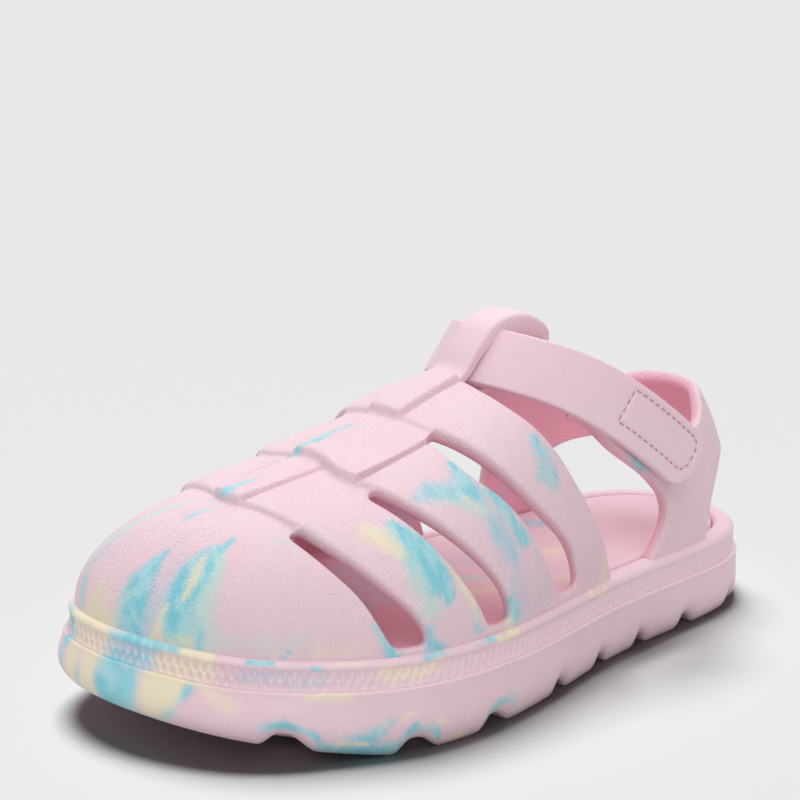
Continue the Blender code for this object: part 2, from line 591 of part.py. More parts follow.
def build_insole(material):
    """The footbed: a dished plate inside the rim, on the sole's top."""
    def floor(x):
        return ledge_height(x) + GAP

    def top(x):
        return rim_height(x) - INSOLE_BELOW_RIM

    return add_solid("insole", *plate(INSOLE_SIDE, 30, 4, INSOLE_DISH, floor, top), material)


def strap_line(count):
    """Points and outward normals of the strap's outer face in the plane across it, at even steps."""
    y, u = np.array(STRAP_LINE["y"]), np.array(STRAP_LINE["u"])
    knots = np.concatenate([[0], np.cumsum(np.hypot(np.diff(y), np.diff(u)))])
    fine = np.linspace(0, knots[-1], count)
    curve = np.column_stack([smooth_curve(knots, row, fine) for row in (y, u, STRAP_LINE["w"])])
    for _ in range(60):
        curve[1:-1] = (curve[:-2] + 2 * curve[1:-1] + curve[2:]) / 4
    length = np.concatenate([[0], np.cumsum(np.linalg.norm(np.diff(curve[:, :2], axis=0), axis=1))])
    return curve, length


def strap_sheet(l, w, depth):
    """Points at distances l along the strap and w across it, at a depth under its outer face."""
    curve, length = strap_line(600)
    tangent = np.gradient(curve[:, :2], length, axis=0)
    tangent /= np.linalg.norm(tangent, axis=1)[:, None]
    normal = np.column_stack([-tangent[:, 1], tangent[:, 0]])
    y, u = (np.interp(l, length, curve[:, k]) - depth * np.interp(l, length, normal[:, k]) for k in range(2))
    forward, up = np.cos(STRAP_RAKE), np.sin(STRAP_RAKE)
    across = np.interp(l, length, curve[:, 2]) + w
    return np.stack([u * forward - across * up, y, u * up + across * forward], axis=-1)


def rounded_sheet(start, end, width, round_start, round_end, columns, rows):
    """A grid on the strap between two ends with round corners."""
    half = width / 2
    w = np.linspace(-1, 1, rows)
    w = half * np.sin(w * np.pi / 2)

    def setback(radius):
        over = np.clip(np.abs(w) - (half - radius), 0, radius)
        return radius - np.sqrt(radius ** 2 - over ** 2)

    first, last = start + setback(round_start), end - setback(round_end)
    share = np.linspace(0, 1, columns)[:, None]
    return first + (last - first) * share, np.broadcast_to(w, (columns, rows))


def build_band(name, sheet, top_depth, bottom_depth, material):
    """A closed band that follows the strap's line between two depths under its outer face."""
    wall = Wall()
    l, w = sheet
    wall.grid(wall.nodes(strap_sheet(l, w, top_depth), strap_sheet(l, w, bottom_depth)))
    return add_solid(name, *wall.mesh(), material)


def build_strap(material, pad_material):
    """The ankle strap and the fastening pad under its tab."""
    end = strap_line(600)[1][-1]
    strap = rounded_sheet(0, end, STRAP_WIDTH, 3.0, TAB_ROUND, 40, 9)
    build_band("ankle_strap", strap, 0.0, STRAP_THICK, material)
    pad = rounded_sheet(end - 4.0 - PAD_LENGTH, end - 4.0, PAD_WIDTH, 1.0, 4.0, 8, 7)
    build_band("hook_pad", pad, STRAP_THICK + GAP / 2, STRAP_THICK + GAP / 2 + PAD_THICK, pad_material)


def main():
    for old in list(bpy.data.objects):
        bpy.data.objects.remove(old)
    pink = foam("pink_foam", (0.86, 0.58, 0.65), 0.6)
    sole_pink = foam("sole_foam", (0.84, 0.56, 0.63), 0.6)
    bed_pink = foam("footbed_foam", (0.86, 0.60, 0.66), 0.65)
    strap_pink = foam("strap_foam", (0.85, 0.56, 0.64), 0.55)
    pad_pink = foam("pad_fabric", (0.80, 0.52, 0.60), 0.9)
    tool = foam("tool", (0.5, 0.5, 0.5), 0.5)
    build_sole(sole_pink, tool)
    build_upper(pink, tool)
    build_insole(bed_pink)
    build_strap(strap_pink, pad_pink)


main()
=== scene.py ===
"""Looks of a child's marbled foam beach sandal, left foot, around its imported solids.

Sizes are in millimetres in the last's frame: +X to the toe, +Y to the lateral side, +Z up. A mesh is made in
metres with the origin under the middle of the sole, and the marbling's strokes are charted from there.
"""

from __future__ import annotations

import json
import logging
import math
from dataclasses import dataclass, field
from enum import Enum

import bmesh
import bpy
import numpy as np
from mathutils import Matrix, Vector

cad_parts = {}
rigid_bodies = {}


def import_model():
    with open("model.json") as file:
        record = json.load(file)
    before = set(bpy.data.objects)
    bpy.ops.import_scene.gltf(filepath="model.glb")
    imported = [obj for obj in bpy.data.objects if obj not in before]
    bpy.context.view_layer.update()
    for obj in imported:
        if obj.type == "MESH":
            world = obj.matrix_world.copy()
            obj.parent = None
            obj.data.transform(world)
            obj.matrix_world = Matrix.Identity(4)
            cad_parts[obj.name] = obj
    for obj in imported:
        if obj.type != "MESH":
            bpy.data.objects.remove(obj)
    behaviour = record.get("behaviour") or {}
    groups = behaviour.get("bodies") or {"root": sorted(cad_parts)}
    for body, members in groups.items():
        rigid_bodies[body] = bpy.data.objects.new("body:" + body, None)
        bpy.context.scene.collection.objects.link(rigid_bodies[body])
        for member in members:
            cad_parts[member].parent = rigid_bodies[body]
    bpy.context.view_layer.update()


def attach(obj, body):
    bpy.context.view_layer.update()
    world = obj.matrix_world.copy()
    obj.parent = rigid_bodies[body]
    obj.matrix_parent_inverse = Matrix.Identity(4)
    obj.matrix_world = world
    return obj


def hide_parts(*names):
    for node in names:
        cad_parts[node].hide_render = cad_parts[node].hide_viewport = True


LOG = logging.getLogger("beach_sandal")
MILLIMETRE = 0.001
BODY = "root"
OUTLINE_SAMPLES = 2880
SPAN_SAMPLES = 160
CHORD_POWER = 0.75
STROKE_SPREAD = 1.1
TINY = 1e-6
BACK_COLUMNS = 10
WING_COLUMNS = 8
SOLE_MIDDLE = np.array([-1.45, 0.25, 0.0])

Array = np.ndarray
Colour = tuple[float, float, float]


class Tint(Enum):
    """Colours of the marbling, by the channel that carries each one's strength."""

    CYAN = 0
    YELLOW = 1
    LAVENDER = 2
    MINT = 3


class Side(Enum):
    """The two sides of the shoe."""

    LATERAL = 1
    MEDIAL = -1


def smooth_curve(table_x: tuple, table_y: tuple, x: Array) -> Array:
    """Cubic Hermite curve through a table, with harmonic-mean slopes that never overshoot.

    Args:
        table_x: Rising places.
        table_y: Values at those places.
        x: Where to read the curve.

    Returns:
        The curve's values, held constant beyond both ends.
    """
    place, value = np.asarray(table_x, float), np.asarray(table_y, float)
    step = np.diff(place)
    slope = np.diff(value) / step
    product = slope[1:] * slope[:-1]
    inner = np.where(product > 0, 2 * product / (slope[1:] + slope[:-1] + 1e-12), 0)
    tangent = np.concatenate([slope[:1], inner, slope[-1:]])
    x = np.clip(x, place[0], place[-1])
    i = np.clip(np.searchsorted(place, x) - 1, 0, len(step) - 1)
    t = (x - place[i]) / step[i]
    start = (1 + 2 * t) * (1 - t) ** 2 * value[i] + t * (1 - t) ** 2 * step[i] * tangent[i]
    end = t ** 2 * (3 - 2 * t) * value[i + 1] + t ** 2 * (t - 1) * step[i] * tangent[i + 1]
    return start + end


def smooth_step(low: float, high: float, x: Array) -> Array:
    """The cubic 3t^2 - 2t^3 between two places, 0 before low and 1 after high."""
    t = np.clip((x - low) / (high - low), 0, 1)
    return t * t * (3 - 2 * t)


def closed_spline(points: Array, count: int) -> Array:
    """Closed cubic spline through points, with tangents from the periodic continuity equations.

    Args:
        points: Knots in order, one row each. Columns past the second ride along.
        count: How many samples to return, at even steps along the length.

    Returns:
        The samples, one row each.
    """
    n = len(points)
    chord = np.linalg.norm(np.roll(points, -1, axis=0) - points, axis=1) ** CHORD_POWER
    rows, before = np.arange(n), np.roll(chord, 1)
    system = np.zeros((n, n))
    system[rows, rows] = 2 * (chord + before)
    system[rows, (rows - 1) % n] = chord
    system[rows, (rows + 1) % n] = before
    rise = (np.roll(points, -1, axis=0) - points) / chord[:, None]
    side = 3 * (before[:, None] * rise + chord[:, None] * np.roll(rise, 1, axis=0))
    tangent = np.linalg.solve(system, side)
    t = np.linspace(0, 1, SPAN_SAMPLES, endpoint=False)[None, :, None]
    p0, p1 = points[:, None], np.roll(points, -1, axis=0)[:, None]
    m0 = (tangent * chord[:, None])[:, None]
    m1 = (np.roll(tangent, -1, axis=0) * chord[:, None])[:, None]
    dense = p0 * (1 + 2 * t) * (1 - t) ** 2 + m0 * t * (1 - t) ** 2
    dense = (dense + p1 * t ** 2 * (3 - 2 * t) + m1 * t ** 2 * (t - 1)).reshape(-1, points.shape[1])
    ring = np.vstack([dense, dense[:1]])
    length = np.concatenate([[0], np.cumsum(np.linalg.norm(np.diff(ring, axis=0), axis=1))])
    at = np.linspace(0, length[-1], count, endpoint=False)
    return np.stack([np.interp(at, length, column) for column in ring.T], axis=1)


def grid_quads(ids: Array) -> Array:
    """Quads of a grid of vertex numbers, one row of four numbers each."""
    corners = [ids[:-1, :-1], ids[1:, :-1], ids[1:, 1:], ids[:-1, 1:]]
    return np.stack(corners, axis=-1).reshape(-1, 4)


def closed_grid(ids: Array, *axes: int) -> Array:
    """A grid of vertex numbers that ends where it starts along the given axes."""
    for axis in axes:
        ids = np.concatenate([ids, ids.take([0], axis=axis)], axis=axis)
    return ids


def end_shares(end: float, middle: tuple) -> Array:
    """Shares of a length: even steps over the middle, and a close pair at each end."""
    return np.concatenate([[0, end], np.linspace(*middle), [1 - end, 1]])


def nearest_on_span(place: Array, a: Array, b: Array) -> tuple[Array, Array]:
    """Nearest places on the span from a to b, as shares of it, and how far they are."""
    t = np.clip((place - a) @ (b - a) / ((b - a) @ (b - a)), 0, 1)
    return t, np.linalg.norm(place - a - t[:, None] * (b - a), axis=1)


def drop_repeats(quads: Array) -> list[list[int]]:
    """Faces from quads, with a corner that repeats another left out, so a pole gets triangles."""
    return [list(dict.fromkeys(quad)) for quad in quads.tolist()]


@dataclass
class Last:
    """The shoe's last: the ledge outline, the heights along the shoe and the ribs of the upper over it."""

    outline_x: tuple = (-92.8, -89.6, -81.0, -66.0, -46.0, -28.0, -8.0, 12.0, 27.0, 40.0, 53.0, 65.0, 76.0,
                        84.0, 88.3, 86.8, 79.5, 66.0, 50.0, 30.0, 8.0, -16.0, -45.0, -68.0, -83.0, -90.6)
    outline_y: tuple = (0.5, 12.8, 21.3, 25.3, 27.3, 30.2, 35.6, 40.0, 41.0, 39.2, 34.0, 27.2, 17.5,
                        4.0, -11.0, -26.0, -35.0, -39.3, -40.0, -37.2, -32.0, -28.8, -28.3, -26.8, -20.5,
                        -10.5)
    ledge_x: tuple = (-93, -40, 0, 26, 50, 70, 89)
    ledge_z: tuple = (13.3, 13.5, 14.6, 15.6, 16.3, 17.9, 20.6)
    rim_x: tuple = (-93, -40, 20, 89)
    rim_z: tuple = (7.2, 6.8, 6.5, 6.5)
    ridge_x: tuple = (-95, -62, -45, -30, -15, -2, 6, 22, 42, 58, 72, 85, 95)
    ridge_y: tuple = (-0.5, -0.5, -0.4, -0.2, 0.0, 0.0, 0.0, 0.0, -1.2, -3.0, -3.5, -3.5, -3.5)
    ridge_z: tuple = (69.0, 69.0, 76.5, 81.0, 78.0, 69.5, 67.0, 61.5, 55.5, 51.5, 48.0, 43.5, 40.0)
    squareness: tuple = (2.0, 2.0, 2.1, 2.2, 2.25, 2.3, 2.3, 2.3, 2.3, 2.28, 2.25, 2.2, 2.2)
    toe_pole: float = 62.0
    heel_pole: float = -62.0
    wall_inset: float = 2.2
    spring_start: float = 44.0
    spring_end: float = 89.0
    spring: float = 9.8
    spring_power: float = 1.15
    points: Array = field(init=False)
    normals: Array = field(init=False)
    length: float = field(init=False)
    toe: int = field(init=False)

    def __post_init__(self) -> None:
        """Samples the outline from the back of the heel, clockwise seen from above, with outward normals."""
        raw = closed_spline(np.column_stack([self.outline_x, self.outline_y]), OUTLINE_SAMPLES)
        self.points = np.roll(raw, -np.argmin(raw[:, 0]), axis=0)
        along = np.roll(self.points, -1, axis=0) - np.roll(self.points, 1, axis=0)
        along /= np.linalg.norm(along, axis=1)[:, None]
        self.normals = np.column_stack([-along[:, 1], along[:, 0]])
        self.length = float(np.linalg.norm(np.roll(raw, -1, axis=0) - raw, axis=1).sum())
        self.toe = int(np.argmax(self.points[:, 0]))

    def at(self, s: Array, offset: Array | float = 0.0) -> Array:
        """Plan points of the outline, moved out along its normals.

        Args:
            s: Distances from the back of the heel along the outline.
            offset: How far out.

        Returns:
            Points, with the last axis holding x and y.
        """
        s = np.asarray(s, float)
        k = s / self.length * OUTLINE_SAMPLES
        i = np.floor(k).astype(int)
        t = (k - i)[..., None]
        a, b = i % OUTLINE_SAMPLES, (i + 1) % OUTLINE_SAMPLES
        out = np.broadcast_to(offset, s.shape)[..., None]
        first, second = self.points[a] + self.normals[a] * out, self.points[b] + self.normals[b] * out
        return first * (1 - t) + second * t

    def station(self, x: Array, side: Side, offset: float = 0.0) -> Array:
        """Distances at which one side of the moved outline passes x, by inverse interpolation.

        Args:
            x: Places along the shoe.
            side: Which side of it.
            offset: How far out the outline is moved.

        Returns:
            Distances round the outline.
        """
        lateral = side is Side.LATERAL
        first, last = (0, self.toe) if lateral else (self.toe, OUTLINE_SAMPLES)
        s = np.arange(first, last + 1) * self.length / OUTLINE_SAMPLES
        run = self.at(s, offset)[:, 0]
        order = slice(None) if lateral else slice(None, None, -1)
        return np.interp(x, run[order], s[order])

    def ledge(self, x: Array) -> Array:
        """Height of the sole's ledge at x."""
        return smooth_curve(self.ledge_x, self.ledge_z, x)

    def rim(self, x: Array) -> Array:
        """Height of the rim at x, where the upper's wall starts."""
        return self.ledge(x) + smooth_curve(self.rim_x, self.rim_z, x)

    def bottom(self, x: Array) -> Array:
        """Height of the sole's underside at x: flat, then a power curve up to the toe."""
        share = np.clip((x - self.spring_start) / (self.spring_end - self.spring_start), 0, None)
        return self.spring * share ** self.spring_power

    def rib(self, s: Array, f: Array, grow: Array | float) -> Array:
        """Points of the upper: plan = foot + heading (reach + grow) cos(f)^(2/n), height by sin(f)^(2/n).

        A rib runs straight in plan from the rim to the ridge, square across the shoe between the two poles
        and turned about a pole at toe and heel. Its height is a superellipse of power n.

        Args:
            s: Stations of the ribs on the outline.
            f: Angles up the ribs, 0 at the rim and half pi on the ridge.
            grow: How far outside the last.

        Returns:
            Points, with the last axis holding x, y and z.
        """
        base = self.at(s, -self.wall_inset)
        foot_x = np.clip(base[..., 0], self.heel_pole, self.toe_pole)
        foot = np.stack([foot_x, smooth_curve(self.ridge_x, self.ridge_y, foot_x)], axis=-1)
        reach = np.linalg.norm(base - foot, axis=-1)
        heading = (base - foot) / reach[..., None]
        power = smooth_curve(self.ridge_x, self.squareness, base[..., 0])
        plan = foot + heading * ((reach + grow) * np.cos(f) ** (2 / power))[..., None]
        low = self.rim(base[..., 0])
        high = smooth_curve(self.ridge_x, self.ridge_z, plan[..., 0]) + grow
        return np.concatenate([plan, (low + (high - low) * np.sin(f) ** (2 / power))[..., None]], axis=-1)

    def rise_angle(self, s: Array, z: Array) -> Array:
        """Angle up the rib at station s where it reaches height z, from the inverse superellipse.

        Args:
            s: Distances round the outline.
            z: Heights.

        Returns:
            Angles, 0 at the rim.
        """
        x = self.at(s, -self.wall_inset)[..., 0]
        low, high = self.rim(x), smooth_curve(self.ridge_x, self.ridge_z, x)
        power = smooth_curve(self.ridge_x, self.squareness, x)
        return np.arcsin(np.clip((z - low) / (high - low), 0, 1) ** (power / 2))


@dataclass(frozen=True)
class Streak:
    """One stroke of marbling: a line through points in the part's frame, with a radius at each point."""

    tint: Tint
    strength: float
    points: tuple
    radii: tuple


def stroke(tint: Tint, strength: float, *knots: tuple) -> Streak:
    """A streak from knots of x, y, z and radius."""
    return Streak(tint, strength, tuple(k[:3] for k in knots), tuple(k[3] for k in knots))


UPPER_STREAKS = (
    stroke(Tint.YELLOW, 0.8, (88.5, -17.0, 26.0, 3.6), (88.0, -10.5, 27.0, 3.6)),
    stroke(Tint.YELLOW, 0.5, (88.0, -15.0, 27.0, 4.8), (86.4, -14.0, 33.0, 4.0)),
    stroke(Tint.LAVENDER, 0.5, (83.0, -20.5, 38.0, 2.6), (79.0, -17.0, 42.6, 3.0)),
    stroke(Tint.MINT, 0.75, (82.0, -28.3, 34.5, 1.6), (77.8, -24.8, 41.0, 1.7), (74.4, -19.3, 45.2, 1.6),
           (66.0, -12.0, 50.0, 1.2)),
    stroke(Tint.CYAN, 0.85, (88.6, -20.8, 25.0, 1.3), (87.4, -21.2, 30.0, 1.2), (84.4, -23.0, 35.7, 1.1),
           (80.9, -22.4, 39.6, 0.9), (77.0, -20.0, 43.0, 0.7)),
    stroke(Tint.MINT, 0.9, (87.2, -7.8, 26.0, 2.2), (86.8, -7.0, 30.9, 2.0), (85.2, -7.2, 35.3, 1.8),
           (83.2, -7.0, 38.2, 1.4)),
    stroke(Tint.CYAN, 1.0, (86.8, -3.6, 25.0, 4.8), (85.3, -3.4, 32.8, 4.6), (83.2, -3.9, 37.2, 3.7),
           (79.9, -3.3, 41.3, 2.2), (76.9, -2.1, 44.0, 1.0)),
    stroke(Tint.LAVENDER, 0.75, (79.0, -3.0, 42.4, 1.8), (75.4, -2.2, 45.2, 1.8), (71.0, -0.8, 47.6, 1.2)),
    stroke(Tint.LAVENDER, 0.6, (83.0, 2.0, 33.0, 2.4), (80.2, 2.0, 38.8, 2.6), (76.6, 2.6, 42.8, 2.2)),
    stroke(Tint.YELLOW, 0.7, (84.2, 2.6, 26.0, 1.6), (83.4, 3.4, 30.0, 1.2), (82.0, 3.8, 34.0, 0.7)),
    stroke(Tint.MINT, 1.0, (80.6, 9.4, 25.0, 5.4), (79.4, 9.6, 32.8, 5.2), (77.2, 9.4, 37.6, 4.4),
           (73.8, 9.4, 42.0, 2.6), (70.4, 9.2, 45.2, 1.2)),
    stroke(Tint.CYAN, 0.9, (81.8, 6.4, 25.0, 3.6), (80.8, 6.8, 33.0, 3.4), (78.0, 7.2, 38.4, 2.7),
           (74.4, 8.0, 42.4, 1.8), (71.2, 8.4, 45.0, 1.2), (67.6, 9.4, 47.2, 0.7)),
    stroke(Tint.CYAN, 0.9, (82.9, 4.6, 29.3, 1.1), (81.3, 4.4, 34.9, 1.4), (78.0, 4.6, 40.4, 1.5),
           (74.6, 5.4, 43.7, 1.2), (71.6, 6.9, 45.7, 0.8)),
    stroke(Tint.YELLOW, 0.95, (79.8, 6.5, 35.8, 0.8), (77.3, 6.8, 40.0, 1.2), (74.6, 6.9, 43.1, 1.0),
           (72.6, 7.0, 44.8, 0.6)),
    stroke(Tint.YELLOW, 0.6, (82.6, 6.0, 25.5, 2.2), (80.6, 9.8, 26.5, 2.0)),
    stroke(Tint.CYAN, 0.65, (78.8, 11.6, 32.0, 0.9), (79.4, 11.8, 25.0, 1.2)),
    stroke(Tint.MINT, 0.35, (60.0, 16.0, 47.0, 3.0), (54.0, 20.0, 47.5, 3.4)),
    stroke(Tint.MINT, 0.4, (77.0, 15.6, 27.5, 3.0), (70.0, 22.6, 27.2, 3.4), (62.0, 28.4, 27.0, 3.2)),
    stroke(Tint.CYAN, 0.85, (61.2, 27.9, 29.4, 0.6), (64.2, 26.4, 24.0, 0.8)),
    stroke(Tint.CYAN, 0.7, (64.0, 25.6, 27.5, 0.5), (65.8, 24.8, 24.0, 0.7)),
    stroke(Tint.YELLOW, 0.8, (59.6, 28.7, 30.0, 0.9), (60.4, 28.8, 24.0, 1.2)),
    stroke(Tint.YELLOW, 0.35, (57.0, 30.0, 26.0, 2.4), (52.0, 33.0, 25.0, 2.4)),
    stroke(Tint.CYAN, 1.0, (49.0, 34.0, 30.0, 0.9), (47.0, 35.2, 26.5, 1.5), (45.0, 36.0, 23.0, 1.8)),
    stroke(Tint.CYAN, 0.9, (37.4, 38.0, 28.0, 1.2), (36.4, 38.4, 24.2, 1.7), (34.0, 38.8, 22.0, 1.8)),
    stroke(Tint.YELLOW, 0.8, (44.6, 25.4, 48.4, 2.2), (42.2, 28.6, 46.2, 2.8), (40.2, 31.0, 44.0, 2.0)),
    stroke(Tint.MINT, 0.8, (39.6, 29.0, 47.0, 2.8), (37.8, 32.6, 43.0, 3.2), (37.0, 35.8, 37.0, 3.0),
           (36.4, 37.2, 32.0, 2.6)),
    stroke(Tint.CYAN, 1.0, (38.0, 27.6, 48.6, 1.4), (35.6, 31.3, 45.8, 2.8), (34.0, 34.3, 42.0, 4.0),
           (32.8, 36.4, 37.9, 3.8), (31.4, 37.8, 33.6, 2.0)),
    stroke(Tint.YELLOW, 0.9, (31.4, 32.4, 45.6, 0.8), (28.6, 35.8, 40.4, 1.3), (26.1, 38.1, 33.7, 1.2),
           (23.6, 39.0, 27.0, 0.8)),
    stroke(Tint.CYAN, 0.85, (24.6, 38.8, 29.6, 0.9), (22.6, 39.1, 23.6, 1.3)),
    stroke(Tint.CYAN, 0.9, (17.4, 23.4, 57.6, 1.5), (17.5, 26.7, 54.9, 2.8), (16.6, 29.8, 51.8, 2.6)),
    stroke(Tint.CYAN, 0.7, (31.0, 25.4, 52.8, 1.6), (26.4, 26.5, 53.1, 2.8), (21.8, 27.7, 53.1, 3.0),
           (17.9, 29.1, 52.4, 2.2)),
    stroke(Tint.MINT, 0.7, (27.0, 27.4, 51.6, 2.2), (21.0, 29.4, 51.2, 2.8), (16.0, 32.0, 49.0, 2.6)),
    stroke(Tint.YELLOW, 0.75, (20.0, 29.4, 51.6, 1.2), (17.2, 31.9, 48.8, 1.5), (15.8, 33.3, 46.2, 1.0)),
    stroke(Tint.YELLOW, 0.8, (13.4, 27.4, 54.6, 0.8), (12.6, 28.6, 53.4, 1.0)),
    stroke(Tint.CYAN, 1.0, (12.4, 29.5, 52.5, 1.2), (10.2, 32.1, 48.4, 2.2), (8.4, 33.7, 44.5, 2.2),
           (6.0, 34.8, 40.0, 1.8)),
    stroke(Tint.LAVENDER, 0.7, (15.4, 33.4, 46.3, 3.4), (12.9, 35.5, 40.8, 4.0), (11.0, 36.7, 34.8, 3.6),
           (9.4, 37.2, 28.5, 3.2), (6.0, 36.2, 24.0, 3.4)),
    stroke(Tint.CYAN, 0.6, (17.0, 32.0, 48.0, 2.4), (14.0, 34.8, 42.9, 2.8), (11.5, 36.3, 37.1, 2.4)),
    stroke(Tint.CYAN, 0.85, (13.2, 37.4, 33.0, 1.0), (12.2, 37.8, 28.0, 1.6), (10.6, 37.7, 22.5, 2.0)),
    stroke(Tint.YELLOW, 0.6, (13.6, 38.2, 25.0, 1.2), (12.0, 38.4, 21.0, 1.8)),
    stroke(Tint.LAVENDER, 0.5, (2.3, 35.1, 34.6, 2.6), (-1.3, 34.5, 23.4, 3.0)),
    stroke(Tint.CYAN, 0.8, (-5.6, 25.2, 59.4, 2.0), (-5.8, 27.4, 55.6, 2.6), (-6.0, 28.6, 52.8, 2.6),
           (-6.2, 29.6, 49.8, 2.0)),
    stroke(Tint.CYAN, 0.5, (-1.6, 29.6, 51.6, 1.4), (-5.0, 29.2, 50.8, 2.0)),
    stroke(Tint.YELLOW, 0.5, (-27.2, 28.0, 27.0, 2.4), (-26.0, 28.6, 20.5, 3.0)),
    stroke(Tint.CYAN, 0.95, (-40.6, 22.5, 47.0, 1.4), (-44.0, 22.5, 44.0, 1.9)),
    stroke(Tint.CYAN, 0.9, (43.0, -6.6, 56.2, 0.9), (38.4, -4.4, 58.6, 1.5), (33.0, -3.4, 60.8, 1.2),
           (25.0, -3.0, 63.0, 0.7)),
    stroke(Tint.CYAN, 0.8, (70.0, -5.0, 48.8, 0.9), (65.0, -3.8, 51.2, 1.5), (60.0, -3.4, 53.2, 1.7),
           (54.0, -3.4, 55.2, 1.0)),
    stroke(Tint.LAVENDER, 0.5, (70.0, -8.0, 48.6, 2.0), (60.0, -6.4, 52.6, 2.0)),
    stroke(Tint.CYAN, 0.9, (74.0, -33.0, 27.0, 3.6), (70.0, -29.5, 38.0, 2.8), (64.0, -23.0, 44.0, 1.2)),
    stroke(Tint.MINT, 0.8, (68.0, -35.0, 26.0, 3.0), (64.0, -31.0, 38.0, 2.4), (58.0, -24.0, 45.0, 1.4)),
    stroke(Tint.YELLOW, 0.8, (65.0, -35.8, 26.0, 1.6), (61.0, -31.6, 38.0, 1.0)),
    stroke(Tint.CYAN, 1.0, (47.0, -35.6, 37.0, 3.0), (44.0, -31.5, 45.0, 3.4), (42.0, -25.0, 50.0, 1.6)),
    stroke(Tint.YELLOW, 0.8, (41.0, -35.8, 36.0, 1.2), (38.5, -30.5, 45.0, 1.4)),
    stroke(Tint.CYAN, 0.9, (30.0, -27.0, 51.0, 2.0), (27.5, -33.0, 42.0, 2.8), (24.0, -35.0, 31.0, 1.8)),
    stroke(Tint.LAVENDER, 0.9, (22.0, -28.0, 50.0, 2.2), (20.5, -33.0, 38.0, 2.4)),
    stroke(Tint.LAVENDER, 0.9, (4.0, -25.0, 54.0, 2.0), (1.5, -30.0, 42.0, 2.4)),
    stroke(Tint.CYAN, 0.8, (10.0, -22.0, 57.0, 1.6), (8.0, -27.0, 50.0, 2.0)),
    stroke(Tint.LAVENDER, 0.9, (-39.5, -23.5, 33.0, 1.2), (-40.0, -23.8, 25.0, 1.4)),
    stroke(Tint.LAVENDER, 0.9, (-3.0, -24.9, 33.0, 1.6), (-10.0, -24.8, 25.0, 2.0)),
)

RIM_STREAKS = (
    stroke(Tint.YELLOW, 1.0, (88.4, -21.5, 25.6, 2.0), (88.6, -10.4, 26.2, 2.2)),
    stroke(Tint.CYAN, 1.0, (86.8, -26.0, 25.0, 1.6), (88.9, -21.8, 22.5, 2.4)),
    stroke(Tint.MINT, 0.8, (86.4, -28.0, 25.6, 2.2), (87.8, -22.4, 25.8, 2.0)),
    stroke(Tint.CYAN, 1.0, (88.4, -8.0, 26.0, 1.6), (85.8, 0.4, 26.0, 2.0)),
    stroke(Tint.CYAN, 0.8, (85.4, 1.8, 25.6, 1.2), (82.2, 8.9, 25.1, 1.3)),
    stroke(Tint.YELLOW, 0.9, (81.8, 9.6, 25.1, 1.0), (78.6, 14.6, 24.4, 1.2)),
    stroke(Tint.CYAN, 0.9, (72.8, 21.0, 23.8, 0.7), (68.9, 24.2, 23.4, 0.6)),
    stroke(Tint.CYAN, 0.9, (64.5, 27.1, 23.2, 0.7), (60.3, 29.6, 22.8, 0.6)),
    stroke(Tint.YELLOW, 0.5, (58.0, 31.0, 22.6, 0.8), (52.0, 34.0, 22.2, 0.8)),
    stroke(Tint.CYAN, 0.8, (38.6, 38.6, 22.0, 1.2), (33.4, 39.6, 21.8, 1.2)),
    stroke(Tint.YELLOW, 0.9, (18.2, 39.6, 21.2, 1.2), (11.7, 38.7, 20.6, 1.2)),
    stroke(Tint.CYAN, 1.0, (23.5, 40.0, 21.7, 0.9), (19.4, 39.8, 21.2, 1.0)),
    stroke(Tint.YELLOW, 0.8, (-19.2, 31.2, 19.6, 1.0), (-25.3, 29.8, 19.2, 1.1)),
    stroke(Tint.YELLOW, 1.0, (90.2, -19.5, 22.0, 2.4), (90.0, -10.5, 22.4, 2.4)),
    stroke(Tint.CYAN, 1.0, (89.6, -8.0, 22.2, 2.4), (85.8, 2.5, 22.0, 2.6)),
    stroke(Tint.YELLOW, 0.95, (84.4, 5.5, 21.6, 2.4), (79.0, 14.4, 21.0, 2.4)),
    stroke(Tint.CYAN, 0.45, (74.0, 20.4, 20.6, 1.8), (60.0, 30.6, 19.8, 1.8)),
    stroke(Tint.YELLOW, 0.75, (47.5, 36.0, 19.2, 2.0), (36.0, 39.8, 18.8, 2.0)),
    stroke(Tint.YELLOW, 0.7, (86.0, -28.0, 23.0, 2.0), (80.0, -35.0, 22.0, 2.0)),
    stroke(Tint.CYAN, 0.9, (76.0, -37.0, 22.5, 1.8), (66.0, -39.4, 21.5, 2.0)),
    stroke(Tint.YELLOW, 0.7, (50.0, -40.0, 20.5, 1.6), (38.0, -38.6, 20.0, 1.6)),
)

